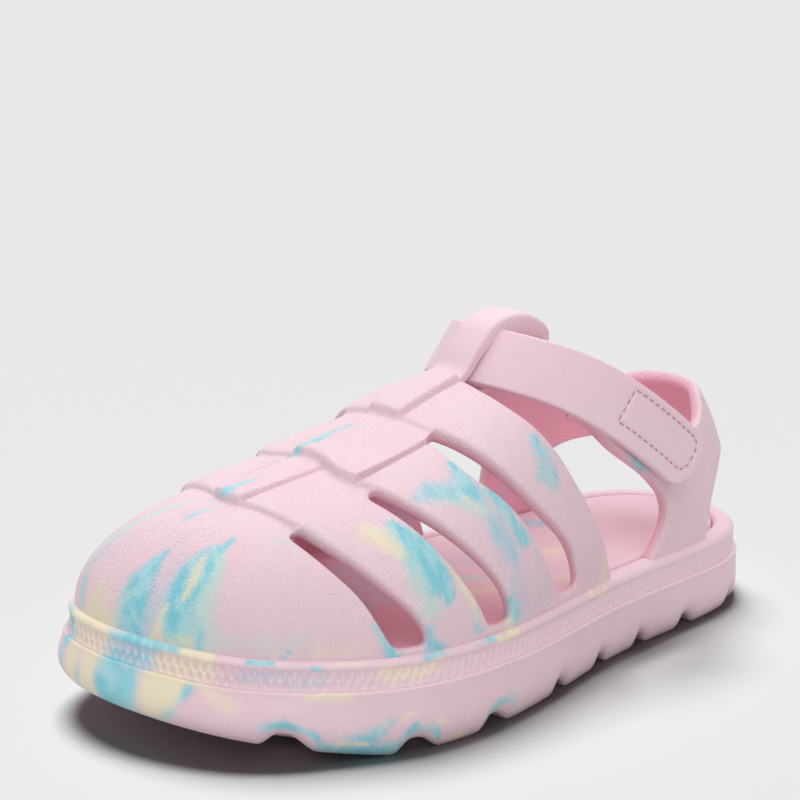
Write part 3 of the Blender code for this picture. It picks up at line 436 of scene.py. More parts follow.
SOLE_STREAKS = (
    stroke(Tint.CYAN, 1.0, (89.8, -24.6, 20.0, 1.5), (89.6, -25.6, 9.5, 1.2)),
    stroke(Tint.YELLOW, 1.0, (91.2, -19.6, 20.2, 2.6), (91.2, -20.4, 12.0, 2.3)),
    stroke(Tint.CYAN, 0.95, (91.6, -16.4, 18.0, 0.5), (91.4, -16.8, 9.4, 0.9)),
    stroke(Tint.YELLOW, 1.0, (91.6, -12.8, 20.4, 3.4), (91.6, -13.4, 11.2, 2.8)),
    stroke(Tint.CYAN, 1.0, (90.9, -6.4, 20.0, 3.6), (90.4, -8.2, 8.6, 4.2)),
    stroke(Tint.CYAN, 1.0, (89.0, -1.0, 19.6, 3.2), (88.8, -3.6, 8.2, 3.8)),
    stroke(Tint.YELLOW, 1.0, (86.2, 5.6, 19.4, 3.4), (86.9, 4.6, 12.4, 3.4)),
    stroke(Tint.YELLOW, 1.0, (84.2, 9.4, 19.0, 2.4), (84.9, 8.6, 14.4, 2.2)),
    stroke(Tint.CYAN, 0.9, (82.2, 12.6, 18.6, 1.5), (84.4, 9.4, 12.4, 1.3), (86.2, 4.4, 8.6, 1.3)),
    stroke(Tint.YELLOW, 0.55, (80.1, 15.3, 17.4, 1.8), (76.6, 20.1, 14.2, 2.6)),
    stroke(Tint.YELLOW, 0.55, (63.0, 30.3, 17.0, 1.2), (56.0, 34.2, 15.2, 1.8)),
    stroke(Tint.CYAN, 1.0, (72.4, 24.6, 10.3, 0.9), (68.2, 27.6, 11.2, 1.2), (64.1, 30.2, 8.8, 1.0),
           (61.4, 31.6, 4.8, 0.9)),
    stroke(Tint.LAVENDER, 0.8, (73.6, 24.2, 9.4, 1.2), (70.2, 26.8, 9.4, 1.2)),
    stroke(Tint.CYAN, 1.0, (60.8, 31.4, 3.4, 1.8), (54.8, 34.0, 2.2, 2.8), (45.6, 38.0, 1.4, 2.3)),
    stroke(Tint.CYAN, 0.8, (55.5, 34.6, 5.2, 1.4), (51.0, 36.6, 7.0, 1.6), (46.6, 38.4, 9.6, 0.9)),
    stroke(Tint.YELLOW, 0.9, (60.0, 32.6, 5.0, 0.8), (53.1, 35.4, 4.9, 0.8)),
    stroke(Tint.YELLOW, 0.6, (49.0, 37.6, 10.0, 0.8), (42.0, 39.6, 10.0, 1.0)),
    stroke(Tint.CYAN, 1.0, (43.8, 38.8, 4.6, 1.0), (41.2, 39.6, 6.2, 1.0), (37.4, 40.4, 5.6, 0.9),
           (34.4, 40.9, 1.4, 0.9)),
    stroke(Tint.YELLOW, 0.95, (33.6, 41.0, 1.4, 1.1), (25.0, 41.4, 1.2, 1.2)),
    stroke(Tint.YELLOW, 0.8, (39.6, 40.2, 6.8, 0.7), (34.6, 41.0, 6.6, 0.7)),
    stroke(Tint.CYAN, 0.95, (22.0, 41.2, 3.4, 1.0), (18.8, 41.0, 6.0, 1.1), (13.6, 40.6, 5.8, 1.0)),
    stroke(Tint.CYAN, 0.8, (11.0, 40.2, 2.0, 0.7), (5.0, 39.0, 0.8, 0.7)),
    stroke(Tint.CYAN, 1.0, (90.0, -25.0, 20.6, 0.8), (91.8, -16.5, 20.8, 0.8)),
    stroke(Tint.YELLOW, 1.0, (91.8, -16.5, 20.8, 0.8), (91.4, -9.0, 20.8, 0.8)),
    stroke(Tint.CYAN, 1.0, (91.2, -8.0, 20.7, 0.9), (87.8, 3.0, 20.2, 0.8)),
    stroke(Tint.YELLOW, 1.0, (87.6, 3.6, 20.1, 0.9), (81.4, 14.0, 19.0, 0.9)),
    stroke(Tint.CYAN, 0.9, (77.2, 20.2, 18.4, 0.5), (71.6, 25.2, 17.8, 0.5)),
    stroke(Tint.YELLOW, 0.7, (70.0, 26.6, 17.6, 0.5), (48.0, 37.0, 16.2, 0.6)),
    stroke(Tint.CYAN, 0.9, (84.0, -32.0, 19.5, 2.4), (84.2, -33.0, 9.5, 2.8)),
    stroke(Tint.YELLOW, 0.9, (77.0, -37.4, 18.0, 2.6), (77.4, -38.0, 11.0, 2.2)),
    stroke(Tint.CYAN, 0.8, (62.0, -41.0, 5.0, 1.6), (46.0, -41.0, 3.0, 1.8)),
    stroke(Tint.YELLOW, 0.8, (40.0, -39.6, 1.6, 1.2), (24.0, -37.4, 1.6, 1.2)),
)

INSOLE_STREAKS = (
    stroke(Tint.LAVENDER, 0.7, (16.0, -19.0, 20.4, 4.0), (18.6, -6.0, 20.0, 4.2), (22.0, 6.0, 20.0, 3.2)),
    stroke(Tint.CYAN, 0.6, (24.0, -16.0, 20.6, 2.6), (26.0, -3.0, 20.4, 3.0), (29.0, 8.0, 20.4, 2.0)),
    stroke(Tint.LAVENDER, 0.6, (-20.0, -9.0, 20.2, 2.6), (-12.0, -4.0, 20.0, 3.6), (4.0, -14.0, 20.2, 2.4)),
    stroke(Tint.YELLOW, 0.6, (-22.0, 19.0, 20.4, 2.4), (-8.0, 16.0, 20.2, 3.8), (6.0, 10.0, 20.2, 2.6)),
    stroke(Tint.MINT, 0.55, (-10.0, 8.0, 20.0, 2.8), (2.0, 1.0, 19.8, 3.4), (12.0, -8.0, 20.0, 2.4)),
    stroke(Tint.CYAN, 0.6, (-52.0, -10.0, 20.0, 2.2), (-45.0, -15.0, 20.0, 3.0), (-38.0, -18.0, 20.2, 2.0)),
    stroke(Tint.YELLOW, 0.65, (-42.0, 7.0, 20.0, 2.6), (-34.0, 2.0, 19.8, 3.8), (-24.0, -4.0, 19.8, 2.4)),
    stroke(Tint.LAVENDER, 0.55, (-30.0, -3.0, 19.8, 2.6), (-18.0, -10.0, 20.0, 3.0)),
    stroke(Tint.CYAN, 0.7, (44.0, -20.0, 21.4, 2.6), (48.0, 0.0, 21.2, 3.0), (52.0, 16.0, 21.6, 2.0)),
    stroke(Tint.YELLOW, 0.7, (36.0, -14.0, 20.8, 2.4), (38.0, 6.0, 20.6, 2.6)),
)


def marble_fields(points: Array, streaks: tuple) -> Array:
    """Strength of each tint: strength exp(-(d / r)^2) round each streak, joined as 1 - (1 - a)(1 - b).

    The points are first moved by a sum of two sines along each axis, so that the strokes wander.

    Args:
        points: Places in millimetres, one row each.
        streaks: The strokes.

    Returns:
        One row for each point, with a column for each tint.
    """
    wander = np.zeros_like(points)
    for axis, (size, pitch, turn) in enumerate(((0.5, 9.0, 0.4), (0.45, 7.0, 1.9), (0.5, 11.0, 3.1))):
        phase = points @ np.array([0.9, 0.7, 0.5]) * 2 * np.pi / pitch + turn
        wander[:, axis] = size * np.sin(phase) + size * 0.5 * np.sin(phase * 2.3 + 1.0)
    place = points + wander
    bare = np.ones((len(points), len(Tint)))
    for streak in streaks:
        knots, radii = np.array(streak.points), STROKE_SPREAD * np.array(streak.radii)
        level = np.zeros(len(points))
        for a, b, first, last in zip(knots[:-1], knots[1:], radii[:-1], radii[1:]):
            t, away = nearest_on_span(place, a, b)
            level = np.maximum(level, np.exp(-(away / (first + (last - first) * t)) ** 2))
        bare[:, streak.tint.value] *= 1 - streak.strength * level
    return 1 - bare


def new_piece(name: str, vertices: Array, faces: list,
              attributes: dict[str, Array] | None = None) -> bpy.types.Object:
    """A smooth-shaded object from millimetre points in the last's frame.

    Args:
        name: The piece's name.
        vertices: Points, one row each.
        faces: Corner numbers of each face.
        attributes: Values for each vertex, by name.

    Returns:
        The object, at the origin, with faces pointing out.
    """
    mesh = bpy.data.meshes.new(name)
    mesh.from_pydata(((vertices - SOLE_MIDDLE) * MILLIMETRE).tolist(), [], faces)
    for key, values in (attributes or {}).items():
        store_values(mesh, key, values)
    shape = bmesh.new()
    shape.from_mesh(mesh)
    bmesh.ops.delete(shape, geom=[v for v in shape.verts if not v.link_faces], context="VERTS")
    bmesh.ops.recalc_face_normals(shape, faces=shape.faces)
    shape.to_mesh(mesh)
    shape.free()
    mesh.shade_smooth()
    piece = bpy.data.objects.new(name, mesh)
    bpy.context.collection.objects.link(piece)
    return piece


def subdivide(piece: bpy.types.Object, levels: int) -> None:
    """Catmull-Clark subdivision, applied so that attributes can be set on the final points.

    Args:
        piece: The piece, which is changed.
        levels: Levels of subdivision.
    """
    change = piece.modifiers.new("round", "SUBSURF")
    change.levels = change.render_levels = levels
    graph = bpy.context.evaluated_depsgraph_get()
    final = bpy.data.meshes.new_from_object(piece.evaluated_get(graph))
    piece.modifiers.clear()
    old, piece.data = piece.data, final
    bpy.data.meshes.remove(old)
    final.name = piece.name
    final.shade_smooth()


def read_points(mesh: bpy.types.Mesh) -> Array:
    """A mesh's points in millimetres, one row each."""
    points = np.zeros(len(mesh.vertices) * 3, np.float32)
    mesh.vertices.foreach_get("co", points)
    return points.reshape(-1, 3).astype(float) / MILLIMETRE


def store_values(mesh: bpy.types.Mesh, name: str, values: Array) -> None:
    """Stores one value for each of a mesh's points as an attribute."""
    layer = mesh.attributes.new(name, "FLOAT", "POINT")
    layer.data.foreach_set("value", np.asarray(values, np.float32))


def paint_marble(piece: bpy.types.Object, streaks: tuple) -> None:
    """Stores the strength of each tint at the piece's points as the attribute marble."""
    fields = marble_fields(read_points(piece.data), streaks)
    layer = piece.data.attributes.new("marble", "FLOAT_COLOR", "POINT")
    layer.data.foreach_set("color", fields.astype(np.float32).ravel())


def settle(piece: bpy.types.Object, slot: str, material: bpy.types.Material,
           *nodes: str) -> bpy.types.Object:
    """Dresses a piece, lets it ride on the shoe and stand for the given solids.

    Args:
        piece: The piece.
        slot: The record's material slot; not used.
        material: Its finish.
        nodes: The solids that it stands for.

    Returns:
        The same piece.
    """
    piece.data.materials.clear()
    piece.data.materials.append(material)
    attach(piece, BODY)
    if nodes:
        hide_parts(*nodes)
    triangles = sum(len(face.vertices) - 2 for face in piece.data.polygons)
    LOG.info("%s: %d triangles", piece.name, triangles)
    return piece


class WallCage:
    """A closed wall: an outer and an inner point for each node, cells over them, and rims at its ends."""

    def __init__(self) -> None:
        """Starts with no nodes and no cells."""
        self.outer = np.zeros((0, 3))
        self.inner = np.zeros((0, 3))
        self.flow = np.zeros((0, 2))
        self.cells: list[Array] = []

    def nodes(self, outer: Array, inner: Array, across: Array, along: Array) -> Array:
        """Adds nodes.

        Args:
            outer: Points of the outer sheet on a grid.
            inner: Points of the inner sheet on the same grid.
            across: Distances across the marbling's flow.
            along: Distances along it.

        Returns:
            The nodes' numbers, in the grid's shape.
        """
        shape = outer.shape[:-1]
        first = len(self.outer)
        flow = np.stack([np.broadcast_to(across, shape), np.broadcast_to(along, shape)], axis=-1)
        self.outer = np.vstack([self.outer, outer.reshape(-1, 3)])
        self.inner = np.vstack([self.inner, inner.reshape(-1, 3)])
        self.flow = np.vstack([self.flow, flow.reshape(-1, 2)])
        return first + np.arange(int(np.prod(shape))).reshape(shape)

    def grid(self, ids: Array, keep: Array | None = None) -> None:
        """Adds the cells of a grid of nodes, apart from those that keep leaves out."""
        quads = grid_quads(ids)
        self.cells.append(quads if keep is None else quads[keep.ravel()])

    def build(self, name: str) -> bpy.types.Object:
        """Joins both sheets along the edges that only one cell uses, and makes the object.

        Args:
            name: The object's name.

        Returns:
            The object.
        """
        cells = np.concatenate(self.cells)
        count = len(self.outer)
        edges = np.stack([cells, np.roll(cells, -1, axis=1)], axis=-1).reshape(-1, 2)
        edges = edges[edges[:, 0] != edges[:, 1]]
        key = edges.min(axis=1) * count + edges.max(axis=1)
        _, first, uses = np.unique(key, return_index=True, return_counts=True)
        rims = edges[first[uses == 1]]
        sides = np.column_stack([rims[:, 1], rims[:, 0], rims[:, 0] + count, rims[:, 1] + count])
        faces = drop_repeats(np.concatenate([cells, cells[:, ::-1] + count, sides]))
        flow = np.vstack([self.flow, self.flow])
        # The inside attribute is 1 on the inner sheet, which the foam finishes paint a deeper pink as painted
        # shade.
        return new_piece(name, np.vstack([self.outer, self.inner]), faces,
                         {"across": flow[:, 0], "along": flow[:, 1], "inside": np.repeat([0.0, 1.0], count)})


@dataclass(frozen=True)
class HeelSide:
    """One side of the heel: its quarter and the band's edges, by distance from the back along the rim."""

    quarter_front: tuple
    quarter_rear: tuple
    low_at: tuple
    low: tuple
    top_at: tuple
    top: tuple
    tuck_at: tuple
    tuck: tuple

    def columns(self, share: Array, wing_end: float) -> Array:
        """Distances of the band's columns, with one over each column of the quarter.

        Args:
            share: The quarter's columns, as shares of its width.
            wing_end: Where the wing ends.

        Returns:
            Distances from the middle of the heel.
        """
        rear, ahead = self.quarter_rear[-1], self.quarter_front[-1]
        back = np.linspace(0, rear, BACK_COLUMNS + 1)[1:]
        wing = np.linspace(ahead, wing_end, WING_COLUMNS + 1)[1:]
        return np.concatenate([back, rear + share[1:] * (ahead - rear), wing])

    def read(self, edge: str, along: Array) -> Array:
        """One of the tables low, top or tuck at distances along the rim."""
        return smooth_curve(getattr(self, edge + "_at"), getattr(self, edge), np.abs(along))


LATERAL_HEEL = HeelSide(
    quarter_front=(60.6, 57.5, 55.0, 53.3, 55.0),
    quarter_rear=(37.4, 36.2, 35.3, 33.1, 28.2),
    low_at=(0, 12, 20, 25, 28.2, 55, 57.3, 59.2, 62.6, 66, 69.2, 72.4, 74.6, 79, 83),
    low=(39, 39.4, 39.2, 38.2, 36.5, 36.5, 39.4, 41.5, 44.3, 47.1, 49.7, 52.8, 56.0, 61.4, 62.8),
    top_at=(0, 15, 22.5, 27.5, 32, 37, 42, 48, 56, 62, 68, 76, 81, 83),
    top=(57, 57, 55.9, 53.5, 50.6, 48.8, 49.2, 51.2, 54.6, 57.2, 59.6, 62.2, 63.6, 63.8),
    tuck_at=(60, 68, 76, 83),
    tuck=(0.0, 0.5, 1.6, 2.8),
)
MEDIAL_HEEL = HeelSide(
    quarter_front=(77.0, 74.6, 73.0, 72.0, 71.8),
    quarter_rear=(55.0, 54.6, 54.4, 53.2, 50.0),
    low_at=(0, 20, 34, 44, 47, 50, 71.8, 72.6, 74.5, 78, 81, 83),
    low=(39, 38.6, 38.2, 38, 37.6, 36.5, 36.5, 40.6, 45, 51, 56, 59.5),
    top_at=(0, 15, 22.5, 27.5, 32, 48, 60, 68, 76, 81, 83),
    top=(57, 56.6, 55.6, 54.6, 53.8, 53.6, 55.6, 58.5, 62.0, 63.4, 62.0),
    tuck_at=(68, 72, 76, 83),
    tuck=(0.0, 0.4, 1.2, 2.8),
)


@dataclass
class UpperShell:
    """The hollow upper above the rim: closed toe, three cross straps a side, quarters and heel band."""

    last: Last
    wall: float = 3.5
    strap_wall: float = 2.4
    sink: float = 1.2
    step: float = 0.4
    edge: float = 1.5
    crown: float = 0.45
    strip_edge: float = 0.07
    broad_strip_edge: float = 0.235
    groove_depth: float = 1.15
    groove_half: float = 0.009
    medial_shift: tuple = (3.0, 4.9, 7.3, 8.1, 13.2, 13.9, 14.5)
    medial_shift_v: float = 0.85
    medial_shift_power: float = 1.3
    rib_length: float = 60.0
    edge_v: tuple = (0.0, 0.15, 0.30, 0.45, 0.60, 0.75, 0.90, 1.0)
    edges: tuple = (
        (60.2, 58.6, 57.6, 55.4, 52.4, 48.6, 45.4, 42.7),
        (59.4, 57.0, 54.8, 52.2, 48.2, 43.2, 37.3, 34.6),
        (37.8, 39.2, 37.6, 34.3, 30.5, 26.4, 21.0, 17.6),
        (37.0, 38.4, 35.3, 31.2, 26.0, 19.9, 13.2, 10.4),
        (17.8, 17.2, 16.2, 13.6, 7.8, 1.6, -4.2, -7.8),
        (17.0, 15.8, 12.4, 8.2, 3.0, -4.2, -13.2, -16.8),
        (-2.2, -2.6, -4.4, -7.8, -12.3, -18.6, -27.2, -31.5),
    )
    gap_tips: tuple = (0.36, 0.31, 0.22)
    gap_foot: float = 0.985
    tip_round: float = 0.04
    tip_blunt: float = 0.01
    foot_round: float = 0.04
    foot_flat: float = 0.8
    band_rise: tuple = ((1.2, 0.2), (1.4, 0.3), (1.5, 0.6))
    strip_rise: tuple = ((2.3, 0.6), (2.7, 0.7), (2.9, 2.0))
    gap_lean_v: float = 0.6
    gap_lean_span: float = 0.3
    gap_lean_share: float = 0.5
    foot_fade: float = 0.12
    toe_shares: tuple = (0.0, 0.4, 0.75)
    toe_edge_share: float = 0.12
    toe_ribs: int = 22
    strap_shares: tuple = (1 / 3, 2 / 3)
    quarter_z: tuple = (20.0, 23.0, 27.0, 31.5, 36.5)
    quarter_levels: tuple = (0.0, 0.12, 0.3, 0.5, 0.7, 0.88)
    quarter_columns: int = 8
    quarter_edge: float = 0.06
    band_rows: tuple = (0.0, 0.09, 0.3, 0.5, 0.7, 0.91, 1.0)
    wing_end: float = 83.0
    side_rows: tuple = (0.03, 0.11, 0.15, 0.19, 0.285, 0.335, 0.385, 0.41, 0.45, 0.50, 0.55, 0.60, 0.65, 0.70,
                        0.75, 0.80, 0.85, 0.89, 0.92, 0.945, 0.965)
    row_gap: float = 0.004
    groove_reach: float = 2.4

    def rows(self) -> Array:
        """Rows from the medial rim over the ridge to the lateral rim, close together at edges and grooves.

        Returns:
            Rows from -1 to 1.
        """
        half, near = self.groove_half, self.groove_half * self.groove_reach
        side = [*self.side_rows, self.gap_foot, *self.gap_tips]
        for middle in (self.strip_edge, self.broad_strip_edge):
            side += [middle - near, middle - half, middle, middle + half, middle + near]
        side = np.sort(np.array(side))
        side = side[np.concatenate([[True], np.diff(side) > self.row_gap])]
        return np.concatenate([[-1], -side[::-1], [0], side, [1]])

    def strap_edges(self, v: Array, medial: Array) -> list[Array]:
        """Edges of the toe and the straps at v, from the toe back, with quarter-circle ends to the gaps.

        Args:
            v: Rows, 0 on the ridge and 1 at the rim.
            medial: Which rows are on the medial side, where the edges end further forward.

        Returns:
            The x of each edge at each row.
        """
        ease = np.minimum(v / self.medial_shift_v, 1) ** self.medial_shift_power * medial
        raw = [smooth_curve(self.edge_v, row, v) + ease * shift
               for row, shift in zip(self.edges, self.medial_shift)]
        for k, tip in enumerate(self.gap_tips):
            ahead, behind = raw[2 * k], raw[2 * k + 1]
            into = np.clip((v - tip + self.tip_blunt) / self.tip_round, 0, 1)
            left = np.clip((self.gap_foot - v) / self.foot_round, 0, 1)
            foot = self.foot_flat + (1 - self.foot_flat) * np.sqrt(1 - (1 - left) ** 2)
            closing = np.sqrt(1 - (1 - into) ** 2) * foot
            width = np.maximum(self.step, (ahead - behind) * closing)
            lean = np.clip((v - self.gap_lean_v) / self.gap_lean_span, 0, self.gap_lean_share)
            raw[2 * k + 1] = behind + lean * (ahead - behind - width)
            raw[2 * k] = raw[2 * k + 1] + width
        return raw

    def strap_rise(self, strap: int, v: Array, share: Array) -> Array:
        """Height of a strap over the toe: bands and strips slope from front to rear, with grooves between.

        Args:
            strap: 0 to 2 from the toe back.
            v: Rows, 1 at the lateral rim, 0 on the ridge, -1 at the medial rim.
            share: Shares of the strap's width from its front edge, for each row.

        Returns:
            Heights for each row.
        """
        size = np.abs(v)
        reach = self.broad_strip_edge if strap == 1 else self.strip_edge
        on_strip = (v > -self.strip_edge) & (v < reach)
        band, strip = (high + (low - high) * share
                       for high, low in (self.band_rise[strap], self.strip_rise[strap]))
        rise = np.where(on_strip, strip, band)
        rise = rise + self.crown * (1 - (2 * share - 1) ** 2) * (size > reach)
        border = np.minimum(np.abs(v - reach), np.abs(v + self.strip_edge))
        rise = np.where(border < TINY, band - self.groove_depth, rise)
        return rise * np.clip((1.0 - size) / self.foot_fade, 0, 1)

    def front_columns(self, v: Array) -> tuple[Array, Array, list[int]]:
        """Columns of the front grid.

        Args:
            v: The rows.

        Returns:
            The x of each column at each row, the heights over the toe, and the cell columns that are gaps.
        """
        size = np.abs(v)
        edges = self.strap_edges(size, v < 0)
        pole = self.last.toe_pole
        columns = [pole + (edges[0] - pole) * share for share in self.toe_shares]
        columns += [edges[0] + np.minimum(self.edge, self.toe_edge_share * (pole - edges[0])), edges[0]]
        rises = [np.zeros(len(v))] * len(columns)
        gaps = []
        for strap in range(len(self.gap_tips)):
            front, rear = edges[2 * strap + 1], edges[2 * strap + 2]
            width = front - rear
            gaps.append(len(columns) - 1)
            middle = [np.full(len(v), share) for share in self.strap_shares]
            border = self.edge / width
            for share in (np.zeros(len(v)), border, *middle, 1 - border, np.ones(len(v))):
                columns.append(front - width * share)
                rises.append(self.strap_rise(strap, v, share))
        return np.array(columns), np.array(rises), gaps

    def add_foot(self, cage: WallCage, outer: Array, inner: Array, across: Array,
                 along: Array | float) -> Array:
        """Adds nodes under the ends of a wall, sunk into the rim, and returns their numbers."""
        down = np.array([0, 0, self.sink])
        return cage.nodes(outer - down, inner - down, across, along)

    def add_front(self, cage: WallCage) -> Array:
        """Adds the front from the toe's pole back to the third strap, rim to rim over the ridge.

        Args:
            cage: The wall to add to.

        Returns:
            Node numbers, columns first, with a sunk row beyond each rim.
        """
        rows = self.rows()
        columns, rises, gaps = self.front_columns(rows)
        lateral = self.last.station(columns, Side.LATERAL, -self.last.wall_inset)
        medial = self.last.station(columns, Side.MEDIAL, -self.last.wall_inset)
        stand = np.where(rows >= 0, lateral, medial)
        angle = np.broadcast_to((1 - np.abs(rows)) * np.pi / 2, columns.shape)
        outer, inner = self.last.rib(stand, angle, rises), self.last.rib(stand, angle, -self.strap_wall)
        along = rows * self.rib_length
        ids = cage.nodes(outer, inner, columns, along)
        ends = [self.add_foot(cage, outer[:, k], inner[:, k], columns[:, k], along[k]) for k in (0, -1)]
        ids = np.concatenate([ends[0][:, None], ids, ends[1][:, None]], axis=1)
        pairs = np.sort(np.abs(np.stack([rows[:-1], rows[1:]])), axis=0)
        keep = np.ones((ids.shape[0] - 1, ids.shape[1] - 1), bool)
        for column, tip in zip(gaps, self.gap_tips):
            keep[column, 1:-1] = ~((pairs[0] > tip - TINY) & (pairs[1] < self.gap_foot + TINY))
        cage.grid(ids, keep)
        return ids

    def add_toe(self, cage: WallCage, front: Array) -> None:
        """Adds the toe: ribs turned about the pole, sharing the front's first column.

        Args:
            cage: The wall to add to.
            front: The front's node numbers.
        """
        rows = self.rows()
        centre = len(rows) // 2
        pole = np.array([self.last.toe_pole])
        ends = [self.last.station(pole, side, -self.last.wall_inset)[0] for side in Side]
        share = np.linspace(0, 1, self.toe_ribs + 1)[1:-1]
        s = np.broadcast_to((ends[0] + (ends[1] - ends[0]) * share)[:, None], (len(share), centre))
        size = rows[centre + 1:][::-1]
        angle = np.broadcast_to((1 - size) * np.pi / 2, s.shape)
        outer, inner = self.last.rib(s, angle, 0.0), self.last.rib(s, angle, -self.strap_wall)
        across = (self.last.toe_pole + self.rib_length * np.minimum(share, 1 - share))[:, None]
        ids = cage.nodes(outer, inner, across, size * self.rib_length)
        foot = self.add_foot(cage, outer[:, 0], inner[:, 0], across[:, 0], self.rib_length)
        body = np.concatenate([foot[:, None], ids], axis=1)
        seams = front[0, centre + 2:][::-1], front[0, :centre + 1]
        fan = np.concatenate([seams[0][None], body, seams[1][None]], axis=0)
        tip = np.full((len(fan), 1), front[0, centre + 1])
        cage.grid(np.concatenate([fan, tip], axis=1))

    def add_heel(self, cage: WallCage) -> None:
        """Adds the heel band, its two tucked wings and the quarters under it, on ribs of the last.

        Args:
            cage: The cage, which is added to.
        """
        share = np.linspace(0, 1, self.quarter_columns)[1:-1]
        share = np.concatenate([[0, self.quarter_edge], share, [1 - self.quarter_edge, 1]])
        lateral, medial = (heel.columns(share, self.wing_end) for heel in (LATERAL_HEEL, MEDIAL_HEEL))
        along = np.concatenate([-medial[::-1], [0], lateral])
        low, top, tuck = (
            np.where(along < 0, MEDIAL_HEEL.read(edge, along), LATERAL_HEEL.read(edge, along))[:, None]
            for edge in ("low", "top", "tuck"))
        rise = np.array(self.band_rows)[None]
        s = np.broadcast_to(along[:, None], (len(along), rise.shape[1]))
        z = low + (top - low) * rise
        angle = self.last.rise_angle(s, z)
        band = cage.nodes(self.last.rib(s, angle, -tuck), self.last.rib(s, angle, -tuck - self.wall), s, z)
        cage.grid(band)
        for side, heel in ((Side.LATERAL, LATERAL_HEEL), (Side.MEDIAL, MEDIAL_HEEL)):
            pick = len(medial) + side.value * np.arange(BACK_COLUMNS, BACK_COLUMNS + len(share))
            self.add_quarter(cage, side, heel, share, band[pick, 0])

    def add_quarter(self, cage: WallCage, side: Side, heel: HeelSide, share: Array, top: Array) -> None:
        """Adds one quarter between the rim and the heel band.

        Args:
            cage: The wall to add to.
            side: Which side.
            heel: That side's tables.
            share: Columns from its rear edge to its front edge.
            top: Node numbers of the band's lower row over it.
        """
        base = heel.quarter_rear[0] + share * (heel.quarter_front[0] - heel.quarter_rear[0])
        foot_z = self.last.rim(self.last.at(side.value * base, -self.last.wall_inset)[:, 0])
        z = foot_z[:, None] + (self.quarter_z[-1] - foot_z[:, None]) * np.array(self.quarter_levels)
        back = smooth_curve(self.quarter_z, heel.quarter_rear, z)
        fore = smooth_curve(self.quarter_z, heel.quarter_front, z)
        s = side.value * (back + (fore - back) * share[:, None])
        angle = self.last.rise_angle(s, z)
        outer, inner = self.last.rib(s, angle, 0.0), self.last.rib(s, angle, -self.wall)
        ids = cage.nodes(outer, inner, s, z)
        foot = self.add_foot(cage, outer[:, 0], inner[:, 0], s[:, 0], z[:, 0])
        cage.grid(np.concatenate([foot[:, None], ids, top[:, None]], axis=1))

    def build(self) -> bpy.types.Object:
        """Makes the shell: a cage of two sheets, then two levels of subdivision that round its edges.

        Returns:
            The shell.
        """
        cage = WallCage()
        self.add_toe(cage, self.add_front(cage))
        self.add_heel(cage)
        piece = cage.build("upper_shell")
        subdivide(piece, 2)
        paint_marble(piece, UPPER_STREAKS)
        return piece


